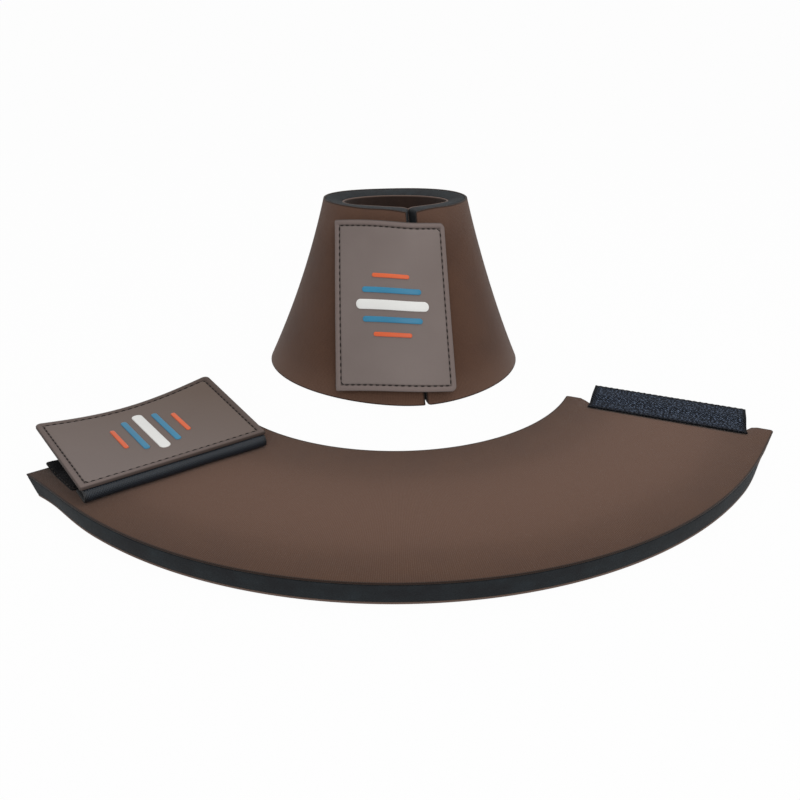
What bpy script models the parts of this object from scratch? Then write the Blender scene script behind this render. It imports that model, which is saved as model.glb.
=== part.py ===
"""A pair of overreach boots (bell boots) for a horse.

Each boot is a thick foam sheet cut as a ring sector. Its two straight ends meet at a butt
joint, which a webbing strap and a moulded flap close. One boot stands closed. Its mirror
image lies open in front of it with the outer face up.

Every piece is modelled flat, as it is cut from the sheet, and is then either laid flat
(the open boot) or bent round the leg (the closed boot). Metres, Z up. The closed boot faces
the viewer, who looks along +Y.
"""

import math

import bmesh
import bpy
import numpy as np
from mathutils import Matrix, Vector

MM = 0.001

# The flat pattern: a ring sector about an apex
SLANT = 140 * MM
MOUTH_RADIUS = 139 * MM
HEM_RADIUS = MOUTH_RADIUS + SLANT
HEM_CORNER_DROP = 7 * MM
HEM_CORNER_POWER = 12
PATTERN_ANGLE = math.radians(121)
PANEL_CORNER = 2.5 * MM
END_STRIP = 3.2 * MM

# The laminate, from the leg outwards
LINING = 1.2 * MM
CORE = 10.4 * MM
OUTER = 1.2 * MM
SEAT = 0.3 * MM
WALL = LINING + SEAT + CORE + SEAT + OUTER
SKIN_HEM_MARGIN = 0.6 * MM

# How the closed boot departs from a round cone
MOUTH_WIDTH_SHARE = 1.086
MOUTH_DEPTH_SHARE = 0.773
HEM_WIDTH_SHARE = 1.053
HEM_DEPTH_SHARE = 0.93
MOUTH_SHIFT_X = -0.5 * MM
MOUTH_SHIFT_Y = 13 * MM
HEM_SHIFT_X = -2.4 * MM
HEM_SHIFT_Y = 8 * MM
RIM_TILT_SHARE = 0.6
FRONT_TILT_SHARE = -0.2
MOUTH_SWELL_SHARE = 1.24
JOINT_TURN = math.radians(14.2)

# The wall points outwards at the joint, sharply at the mouth and softly at the hem
MOUTH_RIDGE = 8 * MM
MOUTH_RIDGE_SPREAD = math.radians(60)
MOUTH_RIDGE_ROUNDING = math.radians(3.5)
MOUTH_JOINT_GAP = 8 * MM
HEM_RIDGE = 12 * MM
HEM_RIDGE_SPREAD = math.radians(69)
HEM_RIDGE_ROUNDING = math.radians(14)
HEM_JOINT_GAP = 1.2 * MM

# The flare sags inwards between mouth and hem, except under the stiff flap
FLARE_SAG_SHARE = 0.33
SAG_START = math.radians(48)
SAG_FULL = math.radians(88)

# The flap, a plate beside the end of its panel. Its corners are given as the distance
# inboard of the end line and along it from the apex: sewn edge at the mouth, free edge at
# the mouth, free edge at the hem, sewn edge at the hem. The closed flap is pulled askew.
FLAP_WIDTH = 90 * MM
FLAP_LENGTH = 122 * MM
FLAP_THICK = 2.2 * MM
FLAP_CORNERS_OPEN = (
    (57 * MM, 146.5 * MM), (-33 * MM, 146.5 * MM), (-33 * MM, 268.5 * MM), (57 * MM, 268.5 * MM),
)
FLAP_CORNERS_CLOSED = (
    (60 * MM, 136 * MM), (-28 * MM, 148 * MM), (-26 * MM, 268 * MM), (68.7 * MM, 261 * MM),
)
FLAP_FREE_CORNER = 5 * MM
FLAP_SEWN_CORNER = 1 * MM
FLAP_EDGE_ROUND = 0.8 * MM
FLAP_HEM_DROOP = 5 * MM
FLAP_FREE_SAG = 2.5 * MM
FLAP_REST_RISE = math.radians(5.5)

# The folded tape that hinges the flap
FOLD_THICK = 1.4 * MM
FOLD_LEAF = 13 * MM
FOLD_END_MARGIN = 1 * MM
FOLD_LOOSE_HEIGHT = 9 * MM
FOLD_ARC_STEPS = 8

# Tapes of the closure
PAD_THICK = 2 * MM
PAD_WIDTH = 38 * MM
PAD_TOP_MARGIN = 8 * MM
PAD_LENGTH_OPEN = 124 * MM
PAD_LENGTH_CLOSED = 114 * MM
PAD_END_MARGIN = 0.5 * MM
TAPE_CORNER = 2 * MM
BACKING_THICK = 0.8 * MM
BACKING_INSET = 3 * MM
BACKING_WIDTH = 52 * MM
STRAP_THICK = 1.4 * MM
STRAP_WIDTH = 35 * MM
STRAP_LENGTH = 107 * MM
STRAP_SEWN = 14.5 * MM
STRAP_TOP_MARGIN = 18.8 * MM
STRAP_REST_RISE = math.radians(4)
HOOK_THICK = 0.8 * MM
HOOK_INSET = 1 * MM

# The raised colour bars on the flap, in pairs from the middle out
BAR_THICK = 0.6 * MM
BAR_PITCH = 10.5 * MM
BAR_MIDDLE_LENGTH = 54 * MM
BAR_MIDDLE_WIDTH = 7 * MM
BAR_INNER_LENGTH = 44 * MM
BAR_INNER_WIDTH = 4 * MM
BAR_OUTER_LENGTH = 28 * MM
BAR_OUTER_WIDTH = 3 * MM

# Where the boots stand: the closed boot's axis, and the open boot's apex beside it
CLOSED_X = -13.66 * MM
CLOSED_Y = 114.62 * MM
APEX_LEFT = 0.5 * MM
APEX_FORWARD = 51.4 * MM
APEX_X = CLOSED_X - APEX_LEFT
APEX_Y = CLOSED_Y - APEX_FORWARD
OPEN_TURN = math.radians(6.7)

# How finely the curved pieces are faceted
WALL_STEPS = 60
WALL_ROWS = 6
BEND_STEP = 8 * MM
RIDGE_STEP = 4 * MM
RIDGE_BAND = 14 * MM
STATION_TOLERANCE_SHARE = 0.25
SLANT_STEP = SLANT / WALL_ROWS
CORNER_STEPS = 3
SECTION_POINTS = 721
NEXT_SECTION = 0.01
SAME_PLACE = 0.03 * MM
CUT_TOLERANCE = 0.003 * MM
ROUND_PROFILE = 0.5
EDGE_STEPS = 2
SHARP_ANGLE = math.radians(40)

# Levels above the wall's outer face when the closure is pressed shut
PAD_LEVEL = SEAT
HOOK_LEVEL = PAD_LEVEL + PAD_THICK + SEAT
STRAP_LEVEL = HOOK_LEVEL + HOOK_THICK + SEAT
BACKING_LEVEL = STRAP_LEVEL + STRAP_THICK + SEAT
FLAP_LEVEL = BACKING_LEVEL + BACKING_THICK + SEAT

COLOURS = {
    "outer_fabric": ((0.085, 0.052, 0.038), 0.85),
    "foam_core": ((0.016, 0.019, 0.023), 0.75),
    "lining": ((0.060, 0.035, 0.026), 0.90),
    "landing_pad": ((0.010, 0.010, 0.011), 0.95),
    "flap": ((0.130, 0.105, 0.098), 0.50),
    "flap_backing": ((0.010, 0.010, 0.011), 0.95),
    "flap_fold": ((0.014, 0.020, 0.032), 0.70),
    "strap": ((0.022, 0.027, 0.040), 0.90),
    "strap_hook": ((0.012, 0.012, 0.014), 0.95),
    "bar_orange": ((0.740, 0.155, 0.060), 0.45),
    "bar_blue": ((0.070, 0.270, 0.430), 0.45),
    "bar_white": ((0.860, 0.860, 0.850), 0.45),
}


def clear_scene():
    for obj in list(bpy.data.objects):
        bpy.data.objects.remove(obj, do_unlink=True)


def material(finish):
    """One Principled material for each finish, made once."""
    found = bpy.data.materials.get(finish)
    if found:
        return found
    colour, roughness = COLOURS[finish]
    made = bpy.data.materials.new(finish)
    made.use_nodes = True
    shader = made.node_tree.nodes["Principled BSDF"]
    shader.inputs["Base Color"].default_value = (*colour, 1)
    shader.inputs["Roughness"].default_value = roughness
    shader.inputs["Metallic"].default_value = 0
    made.diffuse_color = (*colour, 1)
    return made


def blend(first, last, share):
    return first + (last - first) * share


def hem_radius(angle):
    """The hem's two end corners are drawn out a little beyond its circle."""
    return HEM_RADIUS + HEM_CORNER_DROP * (angle / (PATTERN_ANGLE / 2)) ** HEM_CORNER_POWER


class ClosedBoot:
    """The bell: an oval mouth over a wider hem, pointed where the two ends meet."""

    name = "closed"
    fold_height = FLAP_LEVEL - SEAT
    flap_corners = FLAP_CORNERS_CLOSED
    pad_length = PAD_LENGTH_CLOSED
    flap_rise = 0
    strap_rise = 0
    droop = 0
    sag = 0

    def __init__(self):
        self.turn = PATTERN_ANGLE / math.tau
        self.mouth = MOUTH_RADIUS * self.turn + WALL / 2
        self.hem = HEM_RADIUS * self.turn + WALL / 2
        self.rise = math.sqrt(SLANT ** 2 - (self.hem - self.mouth) ** 2)
        self.half_gap = (MOUTH_JOINT_GAP + HEM_JOINT_GAP) / 4

    def outline(self, turn, down):
        """Points of the outer face at the angles turn from the joint, at a share of
        the slant down from the mouth."""
        slack = np.clip((np.abs(turn) - SAG_START) / (SAG_FULL - SAG_START), 0, 1)
        sag = FLARE_SAG_SHARE * (self.hem - self.mouth) * down * (1 - down)
        mean = blend(self.mouth, self.hem, down) - sag * np.sin(slack * math.pi / 2) ** 2
        half_width = mean * blend(MOUTH_WIDTH_SHARE, HEM_WIDTH_SHARE, down)
        half_depth = mean * blend(MOUTH_DEPTH_SHARE, HEM_DEPTH_SHARE, down)
        angle = turn + JOINT_TURN
        oval = 1 / np.hypot(np.sin(angle) / half_width, np.cos(angle) / half_depth)
        height = blend(MOUTH_RIDGE, HEM_RIDGE, down)
        spread = blend(MOUTH_RIDGE_SPREAD, HEM_RIDGE_SPREAD, down)
        rounding = blend(MOUTH_RIDGE_ROUNDING, HEM_RIDGE_ROUNDING, down)
        away = np.hypot(turn, rounding) - rounding
        radius = oval + height * np.clip(1 - away / spread, 0, None) ** 2
        x = CLOSED_X + blend(MOUTH_SHIFT_X, HEM_SHIFT_X, down) + radius * np.sin(angle)
        y = CLOSED_Y + blend(MOUTH_SHIFT_Y, HEM_SHIFT_Y, down) - radius * np.cos(angle)
        z = np.full_like(turn, self.rise * (1 - down))
        return np.stack([x, y, z], axis=-1)

    def face(self, down):
        """The section at one height: its angles, points and outward normals."""
        turn = np.linspace(-math.pi, math.pi, SECTION_POINTS)
        here = self.outline(turn, down)
        below = self.outline(turn, down + NEXT_SECTION)
        along = np.gradient(here, axis=0)
        normal = np.cross(along, here - below)
        normal /= np.linalg.norm(normal, axis=1)[:, None]
        return turn, here, normal

    def point(self, across, down, level, reference=0):
        """A point at the arc length across from the joint, measured on the surface that
        lies reference above the outer face, and at level above the outer face. Offsets
        are level, with the thickness as cut. Towards the mouth the rim tilts with the wall,
        less so inwards at the front, and the tightly bent foam swells inwards."""
        turn, here, normal = self.face(down)
        flat = np.hypot(normal[:, 0], normal[:, 1])
        tilt = RIM_TILT_SHARE * (1 - down)
        reach = (1 - tilt * normal[:, 2] ** 2) / flat
        offset = normal[:, :2] / flat[:, None] * reach[:, None]
        measured = here[:, :2] + offset * reference
        run = np.concatenate([[0], np.cumsum(np.hypot(*np.diff(measured, axis=0).T))])
        run = run - np.interp(0, turn, run)
        place = np.interp(across, run, turn)
        base = [np.interp(place, turn, here[:, axis]) for axis in range(3)]
        shift = [np.interp(place, turn, offset[:, axis]) for axis in range(2)]
        slope = np.interp(place, turn, normal[:, 2]) * (1 - down)
        outwards = max(level, 0) + WALL / 2
        inwards = min(level, 0)
        inner_tilt = blend(FRONT_TILT_SHARE, RIM_TILT_SHARE, math.sin(place / 2) ** 2)
        reach = outwards - WALL / 2 + inwards * blend(MOUTH_SWELL_SHARE, 1, down)
        return Vector((
            base[0] + shift[0] * reach,
            base[1] + shift[1] * reach,
            base[2] + slope * (RIM_TILT_SHARE * outwards + inner_tilt * inwards),
        ))

    def half_run(self, down):
        """Arc length of the outer face from the joint to the back."""
        turn, here, normal = self.face(down)
        return np.hypot(*np.diff(here[:, :2], axis=0).T).sum() / 2

    def wall_point(self, angle, down, level):
        setback = blend(MOUTH_JOINT_GAP, HEM_JOINT_GAP, down) / 2
        share = 1 - abs(angle) / (PATTERN_ANGLE / 2)
        across = setback + share * (self.half_run(down) - setback)
        side = -1 if angle > 0 else 1
        return self.point(side * across, down, level)

    def end_point(self, end, inboard, radial, level, reference=0):
        inboard = inboard + self.half_gap
        radius = math.hypot(inboard, radial)
        from_end = math.atan2(inboard, radial)
        down = (radius - MOUTH_RADIUS) / SLANT
        side = -1 if end == "flap" else 1
        return self.point(side * radius * from_end, down, level, reference)


class OpenBoot:
    """The mirror image, lying flat on its lining."""

    name = "open"
    half_gap = 0
    fold_height = FOLD_LOOSE_HEIGHT
    flap_corners = FLAP_CORNERS_OPEN
    pad_length = PAD_LENGTH_OPEN
    flap_rise = FLAP_REST_RISE
    strap_rise = STRAP_REST_RISE
    droop = FLAP_HEM_DROOP
    sag = FLAP_FREE_SAG

    def wall_point(self, angle, down, level):
        radius = blend(MOUTH_RADIUS, hem_radius(angle), down)
        angle = angle + OPEN_TURN
        return Vector((
            APEX_X + radius * math.sin(angle),
            APEX_Y - radius * math.cos(angle),
            WALL + level,
        ))

    def end_point(self, end, inboard, radial, level, reference=0):
        side = -1 if end == "flap" else 1
        angle = side * PATTERN_ANGLE / 2 + OPEN_TURN
        outward = Vector((math.sin(angle), -math.cos(angle), 0))
        inward = Vector((math.cos(angle), math.sin(angle), 0)) * -side
        foot = Vector((APEX_X, APEX_Y, WALL + level))
        return foot + outward * radial + inward * inboard


def finish(bm, name, finish_name, collection):
    """Turns a mapped mesh into one named, shaded object, its faces pointing out."""
    if bm.calc_volume(signed=True) < 0:
        bmesh.ops.reverse_faces(bm, faces=bm.faces[:])
    mesh = bpy.data.meshes.new(name)
    bm.to_mesh(mesh)
    bm.free()
    mesh.shade_smooth()
    mesh.set_sharp_from_angle(angle=SHARP_ANGLE)
    mesh.materials.append(material(finish_name))
    obj = bpy.data.objects.new(name, mesh)
    collection.objects.link(obj)
    return obj


def wall_layer(boot, layer, inner, outer, rows, hem_margin, collection):
    """One layer of the laminate: its cross-section is turned through the pattern's angle
    about the apex, its four corners are rounded, and it is laid flat or bent."""
    bm = bmesh.new()
    hem = HEM_RADIUS - hem_margin
    radii = [blend(MOUTH_RADIUS, HEM_RADIUS, row / rows) for row in range(rows)] + [hem]
    loop = [(radius, inner) for radius in radii] + [(radius, outer) for radius in reversed(radii)]
    start = Matrix.Rotation(-PATTERN_ANGLE / 2, 3, "Z")
    verts = [bm.verts.new(start @ Vector((0, -radius, level))) for radius, level in loop]
    section = bm.faces.new(verts)
    bmesh.ops.spin(
        bm, geom=[section], cent=(0, 0, 0), axis=(0, 0, 1),
        angle=PATTERN_ANGLE, steps=WALL_STEPS, use_duplicate=False,
    )
    bmesh.ops.recalc_face_normals(bm, faces=bm.faces[:])
    for side in (-1, 1):
        inward = Matrix.Rotation(side * PATTERN_ANGLE / 2, 3, "Z") @ Vector((-side, 0, 0))
        cut(bm, inward * END_STRIP, inward)
    round_corners(bm, PANEL_CORNER, hem)
    for vert in bm.verts:
        angle = math.atan2(vert.co.x, -vert.co.y)
        down = (math.hypot(vert.co.x, vert.co.y) - MOUTH_RADIUS) / SLANT
        vert.co = boot.wall_point(angle, down, vert.co.z)
    return finish(bm, f"{boot.name}_{layer}", layer, collection)


def round_corners(bm, radius, hem):
    """Rounds the four upright corner edges of a ring-sector slab."""
    upright = []
    for edge in bm.edges:
        low, high = edge.verts
        if (low.co - high.co).xy.length > SAME_PLACE:
            continue
        length = low.co.xy.length
        turn = abs(math.atan2(low.co.x, -low.co.y))
        at_end = abs(turn - PATTERN_ANGLE / 2) * length < SAME_PLACE
        at_rim = min(abs(length - MOUTH_RADIUS), abs(length - hem)) < SAME_PLACE
        if at_end and at_rim:
            upright.append(edge)
    bmesh.ops.bevel(bm, geom=upright, offset=radius, segments=CORNER_STEPS, affect="EDGES",
                    profile=ROUND_PROFILE)


def plate(size, centre, corners, edge_round=0):
    """A flat plate with upright corners rounded: corners gives the radius on the low and
    on the high side of the first axis. edge_round softens the upper rim."""
    bm = bmesh.new()
    bmesh.ops.create_cube(bm, size=1)
    bmesh.ops.scale(bm, vec=Vector(size), verts=bm.verts[:])
    for side, radius in zip((-1, 1), corners):
        if radius:
            upright = [
                edge for edge in bm.edges
                if all(vert.co.x * side > 0 for vert in edge.verts)
                and edge.verts[0].co.z * edge.verts[1].co.z < 0
            ]
            bmesh.ops.bevel(bm, geom=upright, offset=radius, segments=CORNER_STEPS,
                            affect="EDGES", profile=ROUND_PROFILE)
    if edge_round:
        rim = [
            edge for edge in bm.edges
            if all(vert.co.z > 0 for vert in edge.verts)
            and len({face.normal.z > edge_round for face in edge.link_faces}) > 1
        ]
        bmesh.ops.bevel(bm, geom=rim, offset=edge_round, segments=EDGE_STEPS, affect="EDGES",
                        profile=ROUND_PROFILE)
    bmesh.ops.translate(bm, vec=Vector(centre), verts=bm.verts[:])
    return bm


def slice_for_bending(bm, shift, first_row):
    """Cuts a flat piece along the lines where it bends: close together over the ridge
    at the joint, wider apart elsewhere, and across at each row of the wall. The joint is
    at minus shift, and the wall's rows are counted from first_row."""
    low = min(vert.co.x for vert in bm.verts) + SEAT
    high = max(vert.co.x for vert in bm.verts) - SEAT
    station = math.ceil((low + shift) / RIDGE_STEP) * RIDGE_STEP
    while station < high + shift:
        off_wide_step = abs(math.remainder(station, BEND_STEP))
        if abs(station) < RIDGE_BAND or off_wide_step < STATION_TOLERANCE_SHARE * BEND_STEP:
            cut(bm, Vector((station - shift, 0, 0)), Vector((1, 0, 0)))
        station += RIDGE_STEP
    for row in range(1, WALL_ROWS):
        cut(bm, Vector((0, first_row + row * SLANT_STEP, 0)), Vector((0, 1, 0)))


def cut(bm, point, normal):
    geometry = bm.verts[:] + bm.edges[:] + bm.faces[:]
    bmesh.ops.bisect_plane(bm, geom=geometry, dist=CUT_TOLERANCE, plane_co=point,
                           plane_no=normal)


def parent_to(empty, objects):
    for obj in objects:
        obj.parent = empty
        obj.matrix_parent_inverse = empty.matrix_world.inverted()


def hinge_empty(name, first, last, collection):
    """An empty halfway along a joint's axis, with its Z along the axis."""
    empty = bpy.data.objects.new(name, None)
    empty.empty_display_size = FLAP_WIDTH / 2
    empty.matrix_world = (
        Matrix.Translation((first + last) / 2) @ (last - first).to_track_quat("Z", "Y").to_matrix().to_4x4()
    )
    collection.objects.link(empty)
    print(name, "at", [round(value, 6) for value in empty.matrix_world.translation],
          "along", [round(value, 6) for value in (last - first).normalized()])
    return empty


def turned(point, first, last, angle):
    """A point turned about the axis from first to last."""
    axis = (last - first).normalized()
    return first + Matrix.Rotation(angle, 3, axis) @ (point - first)


def flap_point(boot, across, along, level, reference=0):
    """A point of the flap or its fold: across is measured from the sewn edge towards the
    free edge, and along from the mouth side towards the hem side."""
    sewn_top, free_top, free_hem, sewn_hem = (Vector(corner) for corner in boot.flap_corners)
    share = across / FLAP_WIDTH
    top = sewn_top.lerp(free_top, share)
    hem = sewn_hem.lerp(free_hem, share)
    inboard, radial = top.lerp(hem, along / FLAP_LENGTH)
    return boot.end_point("flap", inboard, radial, level, reference)


def flap_pieces(boot, collection):
    """The flap with its backing and bars, hinged on the edge that is sewn."""
    lift = boot.fold_height + SEAT
    low = flap_point(boot, 0, FLAP_LENGTH, lift, lift)
    high = flap_point(boot, 0, 0, lift, lift)
    hinge = hinge_empty(f"{boot.name}_flap_hinge", low, high, collection)

    def onto_boot(bm):
        slice_for_bending(bm, -boot.flap_corners[0][0] - boot.half_gap, 0)
        for vert in bm.verts:
            hem_share = vert.co.y / FLAP_LENGTH
            drop = boot.droop * hem_share + boot.sag * math.sin(hem_share * math.pi)
            level = lift + vert.co.z - drop * vert.co.x / FLAP_WIDTH
            place = flap_point(boot, vert.co.x, vert.co.y, level, lift)
            vert.co = turned(place, low, high, boot.flap_rise)

    body = plate(
        (FLAP_WIDTH, FLAP_LENGTH, FLAP_THICK), (FLAP_WIDTH / 2, FLAP_LENGTH / 2, FLAP_THICK / 2),
        (FLAP_SEWN_CORNER, FLAP_FREE_CORNER), FLAP_EDGE_ROUND,
    )
    onto_boot(body)
    made = [finish(body, f"{boot.name}_flap", "flap", collection)]

    backing = plate(
        (BACKING_WIDTH, FLAP_LENGTH - 2 * BACKING_INSET, BACKING_THICK),
        (FLAP_WIDTH - BACKING_INSET - BACKING_WIDTH / 2, FLAP_LENGTH / 2, -SEAT - BACKING_THICK / 2),
        (TAPE_CORNER, TAPE_CORNER),
    )
    onto_boot(backing)
    made.append(finish(backing, f"{boot.name}_flap_backing", "flap_backing", collection))

    bars = [
        (-2, BAR_OUTER_LENGTH, BAR_OUTER_WIDTH, "bar_orange"),
        (-1, BAR_INNER_LENGTH, BAR_INNER_WIDTH, "bar_blue"),
        (0, BAR_MIDDLE_LENGTH, BAR_MIDDLE_WIDTH, "bar_white"),
        (1, BAR_INNER_LENGTH, BAR_INNER_WIDTH, "bar_blue"),
        (2, BAR_OUTER_LENGTH, BAR_OUTER_WIDTH, "bar_orange"),
    ]
    for number, (step, length, width, finish_name) in enumerate(bars, start=1):
        round_end = width / 2 - SAME_PLACE
        bar = plate(
            (length, width, BAR_THICK),
            (FLAP_WIDTH / 2, FLAP_LENGTH / 2 + step * BAR_PITCH, FLAP_THICK + SEAT + BAR_THICK / 2),
            (round_end, round_end),
        )
        onto_boot(bar)
        made.append(finish(bar, f"{boot.name}_bar_{number}", finish_name, collection))
    parent_to(hinge, made)


def flap_fold(boot, collection):
    """The folded tape: a leaf sewn flat on the wall, and a round fold that turns up and
    back under the flap's sewn edge."""
    outer_radius = (boot.fold_height - SEAT) / 2
    centre_x = FOLD_END_MARGIN + outer_radius
    centre_z = SEAT + outer_radius
    outline = [(centre_x + FOLD_LEAF, SEAT)]
    quarter_turns = np.linspace(-1, 1, FOLD_ARC_STEPS + 1)
    for radius, turns in ((outer_radius, quarter_turns), (outer_radius - FOLD_THICK, -quarter_turns)):
        for angle in turns * math.pi / 2:
            outline.append((centre_x - radius * math.cos(angle), centre_z + radius * math.sin(angle)))
    outline.append((centre_x + FOLD_LEAF, SEAT + FOLD_THICK))

    bm = bmesh.new()
    near = [bm.verts.new((x, FOLD_END_MARGIN, z)) for x, z in outline]
    far = [bm.verts.new((x, FLAP_LENGTH - FOLD_END_MARGIN, z)) for x, z in outline]
    bm.faces.new(near)
    bm.faces.new(far[::-1])
    for index in range(len(outline)):
        bm.faces.new((near[index - 1], far[index - 1], far[index], near[index]))
    bmesh.ops.recalc_face_normals(bm, faces=bm.faces[:])
    slice_for_bending(bm, -boot.flap_corners[0][0] - boot.half_gap, 0)
    for vert in bm.verts:
        vert.co = flap_point(boot, vert.co.x, vert.co.y, vert.co.z, boot.fold_height + SEAT)
    return finish(bm, f"{boot.name}_flap_fold", "flap_fold", collection)


def landing_pad(boot, collection):
    mouth_setback = MOUTH_JOINT_GAP / 2 - boot.half_gap if boot.half_gap else 0
    bm = plate(
        (PAD_WIDTH, boot.pad_length, PAD_THICK),
        (PAD_END_MARGIN + mouth_setback + PAD_WIDTH / 2,
         MOUTH_RADIUS + PAD_TOP_MARGIN + boot.pad_length / 2, PAD_LEVEL + PAD_THICK / 2),
        (TAPE_CORNER, TAPE_CORNER),
    )
    slice_for_bending(bm, boot.half_gap, MOUTH_RADIUS)
    for vert in bm.verts:
        vert.co = boot.end_point("flap", vert.co.x, vert.co.y, vert.co.z)
    return finish(bm, f"{boot.name}_landing_pad", "landing_pad", collection)


def strap_pieces(boot, collection):
    """The webbing sewn on the other panel's end, with hook tape under its free part.
    Closed, it steps up onto the landing pad beyond the joint. It turns on its upper inner
    edge, so that it can be folded right back over the wall."""
    top = MOUTH_RADIUS + STRAP_TOP_MARGIN
    middle = top + STRAP_LENGTH / 2
    upper_face = SEAT + STRAP_THICK
    low = boot.end_point("strap", STRAP_SEWN, top + STRAP_LENGTH, upper_face)
    high = boot.end_point("strap", STRAP_SEWN, top, upper_face)
    hinge = hinge_empty(f"{boot.name}_strap_hinge", low, high, collection)
    step_up = STRAP_LEVEL - SEAT if boot.half_gap else 0
    step_end = -2 * boot.half_gap - PAD_END_MARGIN
    step_start = STRAP_SEWN / 2

    def onto_boot(bm):
        slice_for_bending(bm, boot.half_gap, MOUTH_RADIUS)
        for station in (step_start, step_end):
            cut(bm, Vector((station, 0, 0)), Vector((1, 0, 0)))
        for vert in bm.verts:
            share = min(max((step_start - vert.co.x) / (step_start - step_end), 0), 1)
            level = SEAT + vert.co.z + step_up * share
            place = boot.end_point("strap", vert.co.x, vert.co.y, level)
            vert.co = turned(place, low, high, -boot.strap_rise)

    webbing = plate(
        (STRAP_WIDTH, STRAP_LENGTH, STRAP_THICK),
        (STRAP_SEWN - STRAP_WIDTH / 2, middle, STRAP_THICK / 2), (0, 0),
    )
    onto_boot(webbing)
    made = [finish(webbing, f"{boot.name}_strap", "strap", collection)]

    free_end = STRAP_SEWN - STRAP_WIDTH + HOOK_INSET
    hook = plate(
        (step_end - free_end, STRAP_LENGTH - 2 * HOOK_INSET, HOOK_THICK),
        ((step_end + free_end) / 2, middle, -SEAT - HOOK_THICK / 2),
        (TAPE_CORNER, 0),
    )
    onto_boot(hook)
    made.append(finish(hook, f"{boot.name}_strap_hook", "strap_hook", collection))
    parent_to(hinge, made)


def build_boot(boot, collection):
    rows = WALL_ROWS if boot.name == "closed" else 1
    core_base = LINING + SEAT - WALL
    wall_layer(boot, "lining", -WALL, LINING - WALL, rows, SKIN_HEM_MARGIN, collection)
    wall_layer(boot, "foam_core", core_base, core_base + CORE, rows, 0, collection)
    wall_layer(boot, "outer_fabric", -OUTER, 0, rows, SKIN_HEM_MARGIN, collection)
    landing_pad(boot, collection)
    flap_fold(boot, collection)
    flap_pieces(boot, collection)
    strap_pieces(boot, collection)


def main():
    clear_scene()
    collection = bpy.data.collections.new("overreach_boots")
    bpy.context.scene.collection.children.link(collection)
    build_boot(ClosedBoot(), collection)
    build_boot(OpenBoot(), collection)


main()
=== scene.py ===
# %% [markdown]
# # A pair of overreach boots
# Overreach boots, or bell boots, go round a horse's pastern and cover its heels and hoof.
# Each is one thick sheet of foam between two knitted fabrics, cut as part of a ring. A
# webbing strap and a moulded flap with hook and loop tape close its two ends edge to edge.
# One boot stands closed and its mirror image lies open in front of it. This lesson dresses
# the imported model: the frame gives places and motions, and each soft piece is made anew.

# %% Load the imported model
import math

import bmesh
import bpy
import numpy as np
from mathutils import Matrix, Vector


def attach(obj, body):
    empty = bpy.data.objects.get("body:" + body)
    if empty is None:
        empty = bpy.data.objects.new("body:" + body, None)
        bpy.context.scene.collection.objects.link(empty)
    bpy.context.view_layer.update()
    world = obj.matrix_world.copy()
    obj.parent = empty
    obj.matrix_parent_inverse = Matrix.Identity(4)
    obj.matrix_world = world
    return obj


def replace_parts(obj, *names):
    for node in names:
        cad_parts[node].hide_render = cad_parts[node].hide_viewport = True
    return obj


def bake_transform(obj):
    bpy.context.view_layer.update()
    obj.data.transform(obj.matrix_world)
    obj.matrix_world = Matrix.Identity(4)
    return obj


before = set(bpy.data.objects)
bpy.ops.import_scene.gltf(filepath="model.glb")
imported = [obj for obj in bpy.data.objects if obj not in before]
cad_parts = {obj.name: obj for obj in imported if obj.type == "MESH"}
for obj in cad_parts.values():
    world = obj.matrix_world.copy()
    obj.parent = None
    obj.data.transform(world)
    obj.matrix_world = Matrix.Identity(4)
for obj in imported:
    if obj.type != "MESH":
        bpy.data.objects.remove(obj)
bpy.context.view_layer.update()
MM = 0.001

# %% [markdown]
# ## Camera
# The photograph was taken from in front of the closed boot's middle and from above, with
# a lens of about 39 mm on a full-frame sensor. The picture is square. The camera could be
# set by eye. Its place and its tilt of 0.446 radians, or 25.6 degrees, come from fitting
# both boots' outlines instead, which is more exact.

# %% Camera
LOOKS_DOWN = 0.446447
camera = bpy.data.objects.new("camera", bpy.data.cameras.new("camera"))
camera.data.sensor_width = 36
camera.data.lens = 38.7
camera.location = (-0.01035, -0.57163, 0.28775)
camera.rotation_euler = (math.pi / 2 - LOOKS_DOWN, 0, 0)
bpy.context.scene.collection.objects.link(camera)
bpy.context.scene.camera = camera
print("camera at", tuple(round(v, 4) for v in camera.location))

# %% [markdown]
# ## Colours and nodes
# Colours are read off as sRGB hex values, and Blender's shaders want linear light, so one
# function turns the one into the other. A second small function adds a node, sets its
# values and links its inputs. A material could be clicked together in the node editor,
# but written like this it is short enough to read.

# %% Helpers for materials
def linear(hex_colour):
    """An sRGB colour such as #5f4c42 as linear RGBA."""
    values = [int(hex_colour[i:i + 2], 16) / 255 for i in (1, 3, 5)]
    return (*[v / 12.92 if v <= 0.04045 else ((v + 0.055) / 1.055) ** 2.4 for v in values], 1)


def wire(tree, source, socket):
    """Links an output to an input. Where source is a node, its first output is meant, or
    the colour of a Mix node."""
    if hasattr(source, "outputs"):
        source = source.outputs[2 if source.bl_idname == "ShaderNodeMix" else 0]
    tree.links.new(source, socket)


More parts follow.
